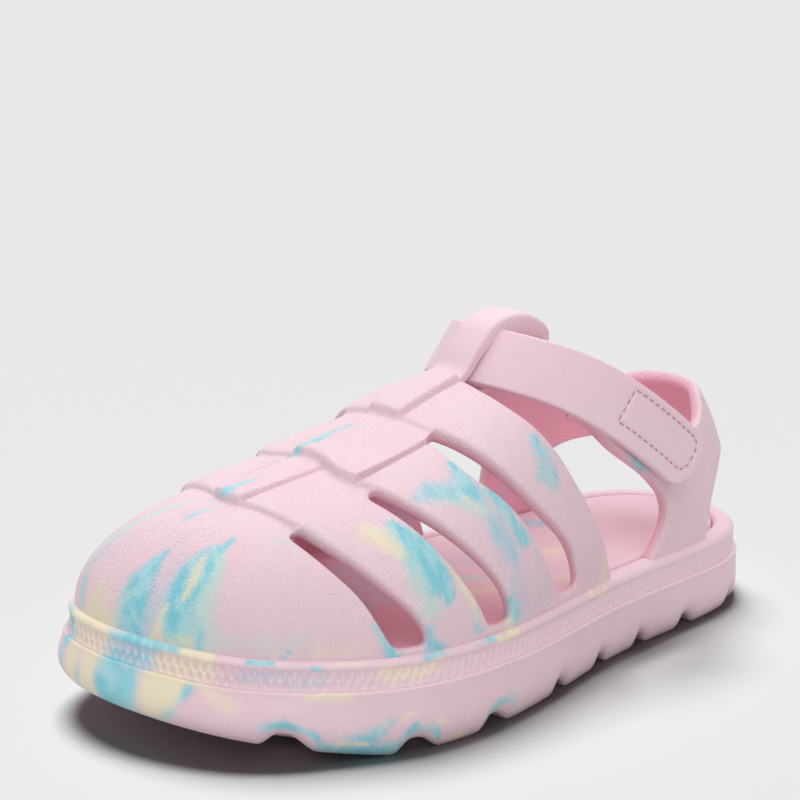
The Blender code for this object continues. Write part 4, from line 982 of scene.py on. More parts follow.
@dataclass
class RimBand:
    """The rim ring on the ledge: a dimpled band under a rounded bead, with a flat top inside."""

    last: Last
    stations: int = 2200
    base_height: float = 6.5
    lattice_pitch: float = 2.1
    dimple_depth: float = 0.5
    dimple_rows: tuple = (1.1, 2.9)
    dimple_half: float = 0.92
    dimple_up: float = 1.5
    dimple_down: float = 1.0
    fade_x: tuple = (-60.0, -35.0, 30.0, 50.0, 64.0)
    fade: tuple = (0.25, 0.45, 0.6, 0.75, 1.0)
    heights: tuple = (
        -0.2, -0.2, -0.2, -0.05, 0.15, 0.4, 0.65, 0.9, 1.15, 1.4, 1.65, 1.9, 2.15, 2.4, 2.65, 2.9, 3.15, 3.4,
        3.65, 3.9, 4.15, 4.4, 4.55, 4.75, 5.05, 5.4, 5.75, 6.05, 6.25, 6.4, 6.5, 6.45, 6.2, 5.7, 5.0, 3.0,
        0.8)
    toe_offsets: tuple = (
        -5.6, -3.0, -0.6, -0.25, -0.28, -0.34, -0.4, -0.46, -0.52, -0.58, -0.64, -0.7, -0.76, -0.82, -0.88,
        -0.94, -1.0, -1.06, -1.12, -1.18, -1.24, -1.22, -1.08, -0.9, -0.8, -0.84, -1.0, -1.3, -1.7, -2.4,
        -3.5, -4.6, -5.3, -5.75, -5.9, -5.9, -5.8)
    heel_offsets: tuple = (
        -5.6, -3.0, -0.7, -0.4, -0.4, -0.42, -0.44, -0.46, -0.48, -0.5, -0.52, -0.54, -0.56, -0.58, -0.6,
        -0.62, -0.64, -0.66, -0.68, -0.7, -0.72, -0.7, -0.62, -0.55, -0.6, -0.8, -1.15, -1.65, -2.2, -2.9,
        -3.8, -4.6, -5.3, -5.75, -5.9, -5.9, -5.8)
    lean_x: tuple = (-60.0, 10.0)
    bead_from: float = 3.9
    dimple_band: tuple = (0.1, 4.3)
    dimple_flank: float = 0.6
    face_offset: float = -2.0

    def dimples(self, s: Array, height: Array, x: Array) -> Array:
        """Depth share of the dimples: drops, pointed above and round below, in two staggered rows.

        Args:
            s: Distances along the outline.
            height: Heights above the ledge.
            x: Places along the shoe.

        Returns:
            0 on the ridges between dimples to 1 at a dimple's middle.
        """
        depth = np.zeros(np.broadcast(s, height).shape)
        count = round(self.last.length / self.lattice_pitch)
        phase = s / self.last.length * count
        for row, middle in enumerate(self.dimple_rows):
            away = np.abs((phase + 0.5 * row) % 1 - 0.5) * self.lattice_pitch / self.dimple_half
            lift = height - middle
            drop = np.maximum(lift / self.dimple_up, -lift / self.dimple_down)
            depth = np.maximum(depth, smooth_step(0, self.dimple_flank, 1.0 - np.hypot(away, drop)))
        return depth * np.interp(x, self.fade_x, self.fade)

    def build(self) -> bpy.types.Object:
        """Makes the ring: the profile carried round the outline, its band pushed in at the dimples.

        Returns:
            The ring.
        """
        s = np.arange(self.stations) * self.last.length / self.stations
        height, toe, heel = (np.array(row) for row in (self.heights, self.toe_offsets, self.heel_offsets))
        x = self.last.at(s)[:, 0]
        offset = heel + (toe - heel) * smooth_step(*self.lean_x, x)[:, None]
        scale = smooth_curve(self.last.rim_x, self.last.rim_z, x) / self.base_height
        rows = height[None] * np.where(height > self.bead_from, scale[:, None], 1)
        dimple = self.dimples(s[:, None], height[None], x[:, None])
        low, high = self.dimple_band
        dimple = dimple * ((height > low) & (height < high) & (toe > self.face_offset))[None]
        out = offset - self.dimple_depth * dimple
        plan = self.last.at(np.repeat(s[:, None], len(height), axis=1), out)
        z = self.last.ledge(x)[:, None] + rows
        vertices = np.concatenate([plan, z[..., None]], axis=-1).reshape(-1, 3)
        ids = closed_grid(np.arange(len(vertices)).reshape(self.stations, -1), 0, 1)
        flow = {"across": np.repeat(s, len(height)), "along": rows.ravel(), "dimple": dimple.ravel()}
        piece = new_piece("rim_band", vertices, grid_quads(ids).tolist(), flow)
        paint_marble(piece, RIM_STREAKS)
        return piece


@dataclass
class KeeperLoop:
    """The loop over the instep that holds the ankle strap."""

    line_x: tuple = (-0.6, -3.8, -7.0, -10.2, -12.8, -15.6, -19.0, -23.0, -27.0, -29.4, -28.4, -22.0, -12.0,
                     -5.5)
    line_z: tuple = (67.4, 69.9, 73.4, 76.6, 78.6, 79.7, 79.8, 79.0, 77.5, 75.6, 73.2, 70.2, 66.6, 64.6)
    wall: tuple = (2.6, 2.8, 3.0, 3.6, 4.4, 5.2, 6.0, 6.4, 5.4, 3.8, 2.6, 2.4, 2.4, 2.4)
    width: float = 10.4
    stations: int = 72
    section: int = 28
    power: float = 5.0

    def build(self) -> bpy.types.Object:
        """Makes the loop: a superellipse section, as wide and thick as its band, along a closed line.

        Returns:
            The loop.
        """
        knots = np.column_stack([self.line_x, self.line_z, self.wall])
        line, wall = np.split(closed_spline(knots, self.stations), [2], axis=1)
        along = np.roll(line, -1, axis=0) - np.roll(line, 1, axis=0)
        along /= np.linalg.norm(along, axis=1)[:, None]
        normal = np.column_stack([-along[:, 1], along[:, 0]])
        turn = np.arange(self.section) * 2 * np.pi / self.section
        ends = [np.sign(wave) * np.abs(wave) ** (2 / self.power) for wave in (np.cos(turn), np.sin(turn))]
        depth = wall / 2 * ends[1][None]
        plan = line[:, None] + normal[:, None] * depth[..., None]
        y = np.broadcast_to(self.width / 2 * ends[0], depth.shape)
        vertices = np.stack([plan[..., 0], y, plan[..., 1]], axis=-1).reshape(-1, 3)
        ids = closed_grid(np.arange(len(vertices)).reshape(self.stations, self.section), 0, 1)
        flow = {"across": vertices[:, 1], "along": np.repeat(np.arange(self.stations), self.section)}
        piece = new_piece("keeper_loop", vertices, grid_quads(ids).tolist(), flow)
        subdivide(piece, 1)
        paint_marble(piece, ())
        return piece


@dataclass
class PlateProfile:
    """A closed plate inside the outline: rows carried round it, and strips across its two faces."""

    last: Last
    stations: int
    columns: int

    def loop(self) -> Array:
        """Stations at even steps from the back of the heel, an even count, so that the two sides pair up."""
        return np.arange(self.stations) * self.last.length / self.stations

    def close(self, name: str, rings: Array, dish: float, flow: Array) -> bpy.types.Object:
        """Closes lofted rings with strips between paired stations, the top one dished by a parabola.

        Args:
            name: The piece's name.
            rings: Points by row and station, from the underside's rim up to the top's.
            dish: Depth of the dish in the top.
            flow: Distances along the marbling's flow, by row and station.

        Returns:
            The object.
        """
        rows, size = rings.shape[:2]
        half = size // 2
        share = np.linspace(0, 1, self.columns + 2)[1:-1]
        points, flows = [rings.reshape(-1, 3)], [flow.ravel()]
        ids = np.arange(rows * size).reshape(rows, size)
        faces = [grid_quads(closed_grid(ids, 1))]
        poles: list[list[int]] = []
        for row, depth in ((0, 0.0), (rows - 1, dish)):
            left, right = rings[row, 1:half], rings[row, :half:-1]
            inner = left[:, None] * (1 - share[:, None]) + right[:, None] * share[:, None]
            inner[..., 2] -= depth * (1 - (2 * share - 1) ** 2)
            first = sum(len(part) for part in points)
            points.append(inner.reshape(-1, 3))
            flows.append(inner[..., 1].ravel())
            grid = first + np.arange(inner.shape[0] * self.columns).reshape(-1, self.columns)
            strip = np.concatenate([ids[row, 1:half, None], grid, ids[row, :half:-1, None]], axis=1)
            faces.append(grid_quads(strip))
            for end, edge in ((ids[row, 0], strip[0]), (ids[row, half], strip[-1])):
                fan = np.column_stack([np.full(len(edge) - 1, end), edge[:-1], edge[1:]])
                poles += fan.tolist()
        vertices = np.vstack(points)
        return new_piece(name, vertices, np.concatenate(faces).tolist() + poles,
                         {"across": vertices[:, 0], "along": np.concatenate(flows)})


@dataclass
class SoleUnit(PlateProfile):
    """The sole: rounded sidewall, toe bulge, thin lip at the ledge and notches between the lugs."""

    stations: int = 640
    columns: int = 12
    notch_x: tuple = (66.0, 39.5, 17.5, -7.0, -25.0, -41.5, -59.5, -80.0)
    notch_width: tuple = (13.0, 12.0, 11.0, 8.6, 8.2, 7.0, 8.3, 8.0)
    notch_height: float = 3.2
    notch_reach: float = 9.0
    toe_bulge: float = 1.5
    bulge_x: tuple = (30.0, 84.0)
    under: tuple = (-10.4, -9.6, -9.0, -8.4, -7.6, -6.0, -4.4, -3.2, -2.4)
    side_offset: tuple = (-1.9, -1.45, -1.0, -0.65, -0.3, 0.1, 0.4, 0.5, 0.45, 0.35, 0.3, 0.28, 0.32, 0.42,
                          0.4, 0.1, -0.5, -1.2)
    side_share: tuple = (0.0, 0.02, 0.05, 0.085, 0.13, 0.21, 0.31, 0.42, 0.55, 0.68, 0.79, 0.87, 0.925, 0.955,
                         0.98, 0.997, 1.0, 1.0)
    notch_flanks: tuple = (-0.55, -0.06, 0.08, 0.48)
    notch_end: float = 0.8
    notch_taper: float = 0.035
    bulge_foot: float = 0.12
    ledge_inset: float = 6.0

    def notches(self, s: Array) -> Array:
        """Share of the notch height along the outline: round bumps with smooth flanks.

        Args:
            s: Distances round the outline.

        Returns:
            Shares from 0 to 1.
        """
        lift = np.zeros(s.shape)
        rise, crest, brow, fall = self.notch_flanks
        for side in Side:
            centre = self.last.station(np.array(self.notch_x), side)
            for middle, width in zip(centre, self.notch_width):
                away = (s - middle) * side.value / width
                flank = smooth_step(rise, crest, away) * (1 - smooth_step(brow, fall, away))
                lift = np.maximum(lift, flank)
        return lift

    def build(self) -> bpy.types.Object:
        """Makes the sole: underside rows lifted at the notches, then the sidewall up to the ledge.

        Returns:
            The sole.
        """
        s = self.loop()
        lift = self.notches(s) * self.notch_height
        x = self.last.at(s)[:, 0]
        rings, flows = [], []
        start, end = -self.notch_reach - self.notch_end, -self.notch_reach + self.notch_end
        for offset in self.under:
            plan = self.last.at(s, offset)
            reach = smooth_step(start, end, np.full(len(s), offset))
            z = self.last.bottom(plan[:, 0]) + lift * reach * (1 + self.notch_taper * (offset + 2))
            rings.append(np.column_stack([plan, z]))
            flows.append(z)
        toe = smooth_step(*self.bulge_x, x)
        for offset, share in zip(self.side_offset, self.side_share):
            phase = self.bulge_foot + (1 - self.bulge_foot) * share
            swell = self.toe_bulge * toe * math.sin(math.pi * phase)
            plan = self.last.at(s, offset + swell)
            low = self.last.bottom(plan[:, 0]) + lift
            z = low + (self.last.ledge(plan[:, 0]) - low) * share
            rings.append(np.column_stack([plan, z]))
            flows.append(z)
        plan = self.last.at(s, -self.ledge_inset)
        rings.append(np.column_stack([plan, self.last.ledge(plan[:, 0])]))
        flows.append(rings[-1][:, 2])
        piece = self.close("sole_unit", np.array(rings), 0.0, np.array(flows))
        paint_marble(piece, SOLE_STREAKS)
        return piece


@dataclass
class Footbed(PlateProfile):
    """The insole: a dished plate inside the rim with a rounded edge, painted a deeper pink towards the front
    as painted shade.
    """

    stations: int = 360
    columns: int = 26
    dish: float = 1.0
    below_rim: float = 0.25
    gap: float = 0.3
    shade_x: tuple = (-25.0, 30.0)
    edge: tuple = ((-6.4, 0.0), (-6.2, 0.1), (-6.2, 0.7), (-6.25, 0.85), (-6.45, 0.95), (-6.9, 1.0),
                   (-7.8, 1.01))

    def build(self) -> bpy.types.Object:
        """Makes the insole: edge rows carried round the outline, then a dished top, with painted shade that
        deepens along it towards the front.

        Returns:
            The insole.
        """
        s = self.loop()
        rings = []
        for offset, share in self.edge:
            plan = self.last.at(s, offset)
            low = self.last.ledge(plan[:, 0]) + self.gap
            high = self.last.rim(plan[:, 0]) - self.below_rim
            rings.append(np.column_stack([plan, low + (high - low) * share]))
        rings = np.array(rings)
        piece = self.close("footbed", rings, self.dish, rings[..., 1])
        # Painted shade: the inside attribute rises from the heel to the front, where the insole lies in shade
        # under the straps.
        store_values(piece.data, "inside", smooth_step(*self.shade_x, read_points(piece.data)[:, 0]))
        paint_marble(piece, INSOLE_STREAKS)
        return piece


@dataclass
class AnkleStrap:
    """The ankle strap through the keeper, its sewn tab and the fastening pad under the tab."""

    y: tuple = (-29.4, -29.6, -28.9, -26.2, -21.2, -14.8, -7.2, 0.0, 7.0, 14.0, 20.2, 25.1, 28.0, 28.8, 28.6)
    u: tuple = (-17.0, -6.0, 6.0, 19.6, 30.0, 36.2, 39.2, 40.2, 39.1, 34.7, 27.2, 17.0, 5.0, -6.0, -17.5)
    w: tuple = (69.0, 69.0, 68.7, 67.6, 65.8, 64.1, 63.4, 63.2, 63.9, 65.6, 67.8, 69.2, 69.8, 70.0, 70.0)
    rake: float = math.radians(39.7)
    width: float = 15.0
    thick: float = 3.0
    tab_round: float = 6.0
    free_round: float = 3.0
    pad_length: float = 20.0
    pad_width: float = 10.4
    pad_thick: float = 0.8
    pad_gap: float = 0.15
    seam_start: float = 114.6
    seam_end: float = 141.4
    seam_low: float = -3.4
    seam_high: float = 5.4
    seam_round: float = 3.2
    stitch_pitch: float = 2.2
    stitch_share: float = 0.72
    thread: float = 0.17
    seam_press: float = 0.4
    seam_half: float = 0.6
    line_samples: int = 600
    line_passes: int = 60
    pad_inset: float = 4.0
    pad_rounds: tuple = (1.0, 4.0)
    strap_columns: tuple = (0.02, 0.98, 52)
    strap_end: float = 0.008
    strap_rows: tuple = (-1.0, -0.86, -0.6, -0.3, 0.0, 0.3, 0.6, 0.86, 1.0)
    pad_columns: tuple = (0.08, 0.92, 10)
    pad_end: float = 0.03
    pad_rows: tuple = (-1.0, -0.9, -0.5, 0.0, 0.5, 0.9, 1.0)
    seam_corner: int = 12
    stitch_rings: int = 7
    stitch_sides: int = 6
    stitch_ahead: float = 0.02
    stitch_sunk: float = 0.1

    def line(self) -> tuple[Array, Array]:
        """The strap's outer face across the foot as smoothed samples, with distances along it.

        Returns:
            The samples, and their distances from the free end.
        """
        knots = np.concatenate([[0], np.cumsum(np.hypot(np.diff(self.y), np.diff(self.u)))])
        fine = np.linspace(0, knots[-1], self.line_samples)
        curve = np.column_stack([smooth_curve(knots, row, fine) for row in (self.y, self.u, self.w)])
        for _ in range(self.line_passes):
            curve[1:-1] = (curve[:-2] + 2 * curve[1:-1] + curve[2:]) / 4
        length = np.concatenate([[0], np.cumsum(np.linalg.norm(np.diff(curve[:, :2], axis=0), axis=1))])
        return curve, length

    def sheet(self, l: Array, w: Array, depth: Array | float) -> Array:
        """Points of the strap: its line, moved in along the normal and out along the raked width.

        Args:
            l: Distances along the strap.
            w: Distances across it.
            depth: Depths under its outer face.

        Returns:
            Points, with the last axis holding x, y and z.
        """
        curve, length = self.line()
        tangent = np.gradient(curve[:, :2], length, axis=0)
        tangent /= np.linalg.norm(tangent, axis=1)[:, None]
        normal = np.column_stack([-tangent[:, 1], tangent[:, 0]])
        y, u = (np.interp(l, length, curve[:, k]) - depth * np.interp(l, length, normal[:, k])
                for k in range(2))
        forward, up = math.cos(self.rake), math.sin(self.rake)
        across = np.interp(l, length, curve[:, 2]) + w
        return np.stack([u * forward - across * up, y, u * up + across * forward], axis=-1)

    @staticmethod
    def rounded(start: float, end: float, width: float, radii: tuple, share: Array,
                rows: Array) -> tuple[Array, Array]:
        """A grid between two ends whose corners are quarter circles.

        Args:
            start: Where it starts along the strap.
            end: Where it ends.
            width: Its width.
            radii: Corner radii at the start and the end.
            share: Columns, 0 to 1.
            rows: Rows, -1 to 1.

        Returns:
            Distances along and across the strap on the grid.
        """
        w = rows * width / 2
        back = []
        for radius in radii:
            over = np.clip(np.abs(w) - (width / 2 - radius), 0, radius)
            back.append(radius - np.sqrt(radius ** 2 - over ** 2))
        first, last = start + back[0], end - back[1]
        l = first + (last - first) * share[:, None]
        return l, np.broadcast_to(w, l.shape)

    def band(self, name: str, grid: tuple, depths: tuple, levels: int) -> bpy.types.Object:
        """A closed band on the strap's line between two depths, rounded by subdivision.

        Args:
            name: The object's name.
            grid: Places along and across the strap.
            depths: Its outer and inner depth.
            levels: Levels of subdivision.

        Returns:
            The band.
        """
        cage = WallCage()
        l, w = grid
        cage.grid(cage.nodes(self.sheet(l, w, depths[0]), self.sheet(l, w, depths[1]), w, l))
        piece = cage.build(name)
        subdivide(piece, levels)
        paint_marble(piece, ())
        return piece

    def build_strap(self) -> bpy.types.Object:
        """Makes the strap, with columns close together at both ends.

        Returns:
            The strap.
        """
        end = self.line()[1][-1]
        share = end_shares(self.strap_end, self.strap_columns)
        rounds = self.free_round, self.tab_round
        grid = self.rounded(0, end, self.width, rounds, share, np.array(self.strap_rows))
        piece = self.band("ankle_strap_band", grid, (0.0, self.thick), 3)
        self.press_seam(piece)
        return piece

    def press_seam(self, piece: bpy.types.Object) -> None:
        """Presses the seam into the outer face by seam_press exp(-(d / seam_half)^2), d from the seam.

        Args:
            piece: The strap, which is changed.
        """
        mesh = piece.data
        along, across, inside = (np.zeros(len(mesh.vertices), np.float32) for _ in range(3))
        for key, values in (("along", along), ("across", across), ("inside", inside)):
            mesh.attributes[key].data.foreach_get("value", values)
        normals = np.zeros(len(mesh.vertices) * 3, np.float32)
        mesh.vertex_normals.foreach_get("vector", normals)
        place, path = np.column_stack([along, across]), self.seam()
        away = np.full(len(place), np.inf)
        for a, b in zip(path[:-1], path[1:]):
            away = np.minimum(away, nearest_on_span(place, a, b)[1])
        press = self.seam_press * np.exp(-(away / self.seam_half) ** 2) * (1 - inside)
        moved = read_points(mesh) - normals.reshape(-1, 3) * press[:, None]
        mesh.vertices.foreach_set("co", (moved * MILLIMETRE).astype(np.float32).ravel())
        mesh.update()

    def build_pad(self) -> bpy.types.Object:
        """Makes the fastening pad under the tab.

        Returns:
            The pad.
        """
        end = self.line()[1][-1] - self.pad_inset
        share = end_shares(self.pad_end, self.pad_columns)
        start, rows = end - self.pad_length, np.array(self.pad_rows)
        grid = self.rounded(start, end, self.pad_width, self.pad_rounds, share, rows)
        top = self.thick + self.pad_gap
        return self.band("hook_pad_tape", grid, (top, top + self.pad_thick), 2)

    def seam(self) -> Array:
        """The tab's stitch line as points along and across the strap: a rectangle, round at the tab's end.

        Returns:
            The line's points.
        """
        radius = self.seam_round
        turn = np.linspace(0, np.pi / 2, self.seam_corner)
        l, rise = self.seam_end - radius + radius * np.cos(turn), radius * np.sin(turn)
        low = np.column_stack([l, self.seam_low + radius - rise])[::-1]
        high = np.column_stack([l, self.seam_high - radius + rise])
        start = np.array([[self.seam_start, self.seam_low], [self.seam_start, self.seam_high]])
        return np.concatenate([start[:1], low, high, start[1:], start[:1]])

    def build_stitches(self) -> bpy.types.Object:
        """Makes the stitches: short arched tubes at an even pitch along the seam, joined in one mesh.

        Returns:
            The stitches.
        """
        path = self.seam()
        length = np.concatenate([[0], np.cumsum(np.linalg.norm(np.diff(path, axis=0), axis=1))])
        count = round(length[-1] / self.stitch_pitch)
        pitch = length[-1] / count
        t = np.linspace(0, 1, self.stitch_rings)
        at = (np.arange(count)[:, None] + 0.5 + (t - 0.5) * self.stitch_share) * pitch
        ahead = at + self.stitch_ahead
        l, w = (np.interp(at, length, path[:, k]) for k in range(2))
        dl, dw = (np.interp(ahead % length[-1], length, path[:, k]) for k in range(2))
        dl, dw = dl - l, dw - w
        size = np.hypot(dl, dw) + TINY
        turn = np.arange(self.stitch_sides) * 2 * np.pi / self.stitch_sides
        swell = self.thread * np.sqrt(np.clip(1 - (2 * t - 1) ** 2, 0.06, 1)) ** 0.5
        side = swell[:, None] * np.cos(turn)
        rise = swell[:, None] * np.sin(turn)
        arch = self.thread * 0.9 * (1 - (2 * t - 1) ** 4) - self.stitch_sunk
        place_l = l[..., None] - (dw / size)[..., None] * side
        place_w = w[..., None] + (dl / size)[..., None] * side
        depth = np.broadcast_to(self.seam_press - arch[:, None] - rise, place_l.shape)
        vertices = self.sheet(place_l, place_w, depth).reshape(-1, 3)
        ids = closed_grid(np.arange(len(vertices)).reshape(count, len(t), len(turn)), -1)
        sides = np.stack([ids[:, :-1, :-1], ids[:, 1:, :-1], ids[:, 1:, 1:], ids[:, :-1, 1:]], axis=-1)
        caps = np.concatenate([ids[:, 0, -2::-1], ids[:, -1, :-1]])
        return new_piece("tab_stitches", vertices, sides.reshape(-1, 4).tolist() + caps.tolist())


@dataclass(frozen=True)
class Palette:
    """Linear colours of the foam and its marbling."""

    pink: Colour = (0.838, 0.622, 0.686)
    rose: Colour = (0.82, 0.55, 0.62)
    # Painted shade: a deeper, more saturated pink for the inner faces and the insole's front.
    inner_shade_pink: Colour = (0.92, 0.45, 0.56)
    cyan: Colour = (0.19, 0.61, 0.73)
    pale_cyan: Colour = (0.36, 0.70, 0.76)
    mint: Colour = (0.52, 0.75, 0.69)
    yellow: Colour = (0.86, 0.77, 0.55)
    lavender: Colour = (0.64, 0.59, 0.73)
    thread: Colour = (0.60, 0.31, 0.40)


PALETTE = Palette()


def named_group(name: str, inputs: dict[str, str], outputs: dict[str, str]) -> bpy.types.NodeTree:
    """A new shader group with sockets of the given types.

    Args:
        name: Its name.
        inputs: Socket types by input name.
        outputs: Socket types by output name.

    Returns:
        The group's tree.
    """
    tree = bpy.data.node_groups.new(name, "ShaderNodeTree")
    for key, kind in inputs.items():
        tree.interface.new_socket(key, in_out="INPUT", socket_type=kind)
    for key, kind in outputs.items():
        tree.interface.new_socket(key, in_out="OUTPUT", socket_type=kind)
    return tree


class NodeSheet:
    """Adds nodes to a tree, with values for unlinked inputs and links for linked ones."""

    def __init__(self, tree: bpy.types.NodeTree) -> None:
        """Starts on a tree."""
        self.tree = tree

    def add(self, kind: str, settings: dict | None = None, **inputs: object) -> bpy.types.Node:
        """Adds a node.

        Args:
            kind: Its type.
            settings: Its properties.
            inputs: Sockets or values by input name, or by _number for an input's place.

        Returns:
            The node.
        """
        node = self.tree.nodes.new(kind)
        for key, value in (settings or {}).items():
            setattr(node, key, value)
        for key, value in inputs.items():
            socket = node.inputs[int(key[1:]) if key.startswith("_") else key]
            if isinstance(value, bpy.types.NodeSocket):
                self.tree.links.new(value, socket)
            else:
                socket.default_value = value
        return node

    def math(self, operation: str, *values: object) -> bpy.types.NodeSocket:
        """The result of a Math node."""
        inputs = {f"_{k}": value for k, value in enumerate(values)}
        return self.add("ShaderNodeMath", {"operation": operation}, **inputs).outputs[0]

    def blend(self, factor: object, first: object, second: object) -> bpy.types.NodeSocket:
        """A colour between two, by a factor."""
        inputs = {"_0": factor, "_6": first, "_7": second}
        return self.add("ShaderNodeMix", {"data_type": "RGBA"}, **inputs).outputs[2]

    def noise(self, vector: object, scale: object, detail: float, roughness: float,
              **settings: object) -> bpy.types.NodeSocket:
        """The value of a Noise Texture."""
        return self.add("ShaderNodeTexNoise", settings, Vector=vector, Scale=scale, Detail=detail,
                        Roughness=roughness).outputs["Fac"]

    def attribute(self, name: str, output: str = "Fac") -> bpy.types.NodeSocket:
        """An output of an Attribute node."""
        return self.add("ShaderNodeAttribute", {"attribute_name": name}).outputs[output]

    def ramp(self, value: object, low: float, high: float, start: float = 0.0,
             end: float = 1.0) -> bpy.types.NodeSocket:
        """A smooth step from start to end as value goes from low to high."""
        inputs = {"_0": value, "_1": low, "_2": high, "_3": start, "_4": end}
        return self.add("ShaderNodeMapRange", {"interpolation_type": "SMOOTHSTEP"}, **inputs).outputs[0]


def rgba(colour: Colour) -> tuple[float, float, float, float]:
    """A colour with full alpha."""
    return (*colour, 1.0)


class FoamGroups:
    """Shader groups that the foam finishes share."""

    def __init__(self) -> None:
        """Builds the groups once."""
        self.marble = self.make_marble()
        self.grain = self.make_grain()

    @staticmethod
    def make_marble() -> bpy.types.NodeTree:
        """Marbling: base colour, then each tint where its field plus fibre noise passes a soft threshold.

        Returns:
            The group's tree.
        """
        kinds = {"Base": "NodeSocketColor", "Vector": "NodeSocketVector", "Across": "NodeSocketFloat",
                 "Along": "NodeSocketFloat", "Field": "NodeSocketColor", "Mint": "NodeSocketFloat",
                 "Fibre": "NodeSocketFloat"}
        tree = named_group("marbled_foam", kinds, {"Colour": "NodeSocketColor"})
        sheet = NodeSheet(tree)
        source, sink = sheet.add("NodeGroupInput"), sheet.add("NodeGroupOutput")
        place = sheet.add("ShaderNodeCombineXYZ", X=sheet.math("MULTIPLY", source.outputs["Across"], 1.15),
                          Y=sheet.math("MULTIPLY", source.outputs["Along"], 0.34)).outputs[0]
        fibre = sheet.noise(place, 1.0, 4.0, 0.62, noise_dimensions="2D")
        broad = sheet.noise(place, 0.35, 2.0, 0.5, noise_dimensions="2D")
        speck = sheet.noise(source.outputs["Vector"], 1200.0, 2.0, 0.6)
        streaky = sheet.math("ADD", sheet.math("SUBTRACT", fibre, 0.5),
                             sheet.math("MULTIPLY", sheet.math("SUBTRACT", speck, 0.5), 1.1))
        push = sheet.math("MULTIPLY", streaky, source.outputs["Fibre"])
        fields = sheet.add("ShaderNodeSeparateColor", Color=source.outputs["Field"]).outputs
        cyan = sheet.blend(sheet.ramp(broad, 0.35, 0.65), rgba(PALETTE.cyan), rgba(PALETTE.pale_cyan))
        colour = source.outputs["Base"]
        tints = ((fields[Tint.LAVENDER.value], rgba(PALETTE.lavender), 0.75),
                 (source.outputs["Mint"], rgba(PALETTE.mint), 0.85),
                 (fields[Tint.CYAN.value], cyan, 0.97),
                 (fields[Tint.YELLOW.value], rgba(PALETTE.yellow), 0.95))
        for level, paint, cover in tints:
            spread = sheet.math("MULTIPLY", push, sheet.ramp(level, 0.02, 0.3))
            mask = sheet.ramp(sheet.math("ADD", level, spread), 0.04, 0.94, 0.0, cover)
            colour = sheet.blend(mask, colour, paint)
        tree.links.new(colour, sink.inputs["Colour"])
        return tree

    @staticmethod
    def make_grain() -> bpy.types.NodeTree:
        """Foam skin: pores from fine cells and noise, slow changes of tone, painted shade in the pores' low
        spots, and roughness to match.

        Returns:
            The group's tree.
        """
        kinds = {"Vector": "NodeSocketVector", "Scale": "NodeSocketFloat", "Light": "NodeSocketColor",
                 "Deep": "NodeSocketColor", "Roughness": "NodeSocketFloat"}
        results = {"Colour": "NodeSocketColor", "Height": "NodeSocketFloat", "Roughness": "NodeSocketFloat"}
        tree = named_group("foam_skin", kinds, results)
        sheet = NodeSheet(tree)
        source, sink = sheet.add("NodeGroupInput"), sheet.add("NodeGroupOutput")
        vector, scale = source.outputs["Vector"], source.outputs["Scale"]
        pores = sheet.add("ShaderNodeTexNoise", Vector=vector, Scale=scale, Detail=3.0, Roughness=0.6,
                          Distortion=0.6).outputs["Fac"]
        cells = sheet.add("ShaderNodeTexVoronoi", {"feature": "SMOOTH_F1"}, Vector=vector,
                          Scale=sheet.math("MULTIPLY", scale, 0.8), Smoothness=0.6).outputs["Distance"]
        tone = sheet.noise(vector, 45.0, 3.0, 0.55)
        height = sheet.math("ADD", sheet.math("MULTIPLY", pores, 0.7), sheet.math("MULTIPLY", cells, 0.6))
        # The slow tone changes are the foam's own colour; the darkening where the pores are low is painted
        # shade.
        tone_and_pore_shade = sheet.math("ADD", sheet.ramp(tone, 0.35, 0.7, 0.0, 0.4),
                           sheet.ramp(pores, 0.6, 0.35, 0.0, 0.35))
        colour = sheet.blend(tone_and_pore_shade, source.outputs["Light"], source.outputs["Deep"])
        rough = sheet.math("ADD", source.outputs["Roughness"], sheet.ramp(pores, 0.3, 0.7, -0.06, 0.06))
        tree.links.new(colour, sink.inputs["Colour"])
        tree.links.new(height, sink.inputs["Height"])
        tree.links.new(rough, sink.inputs["Roughness"])
        return tree


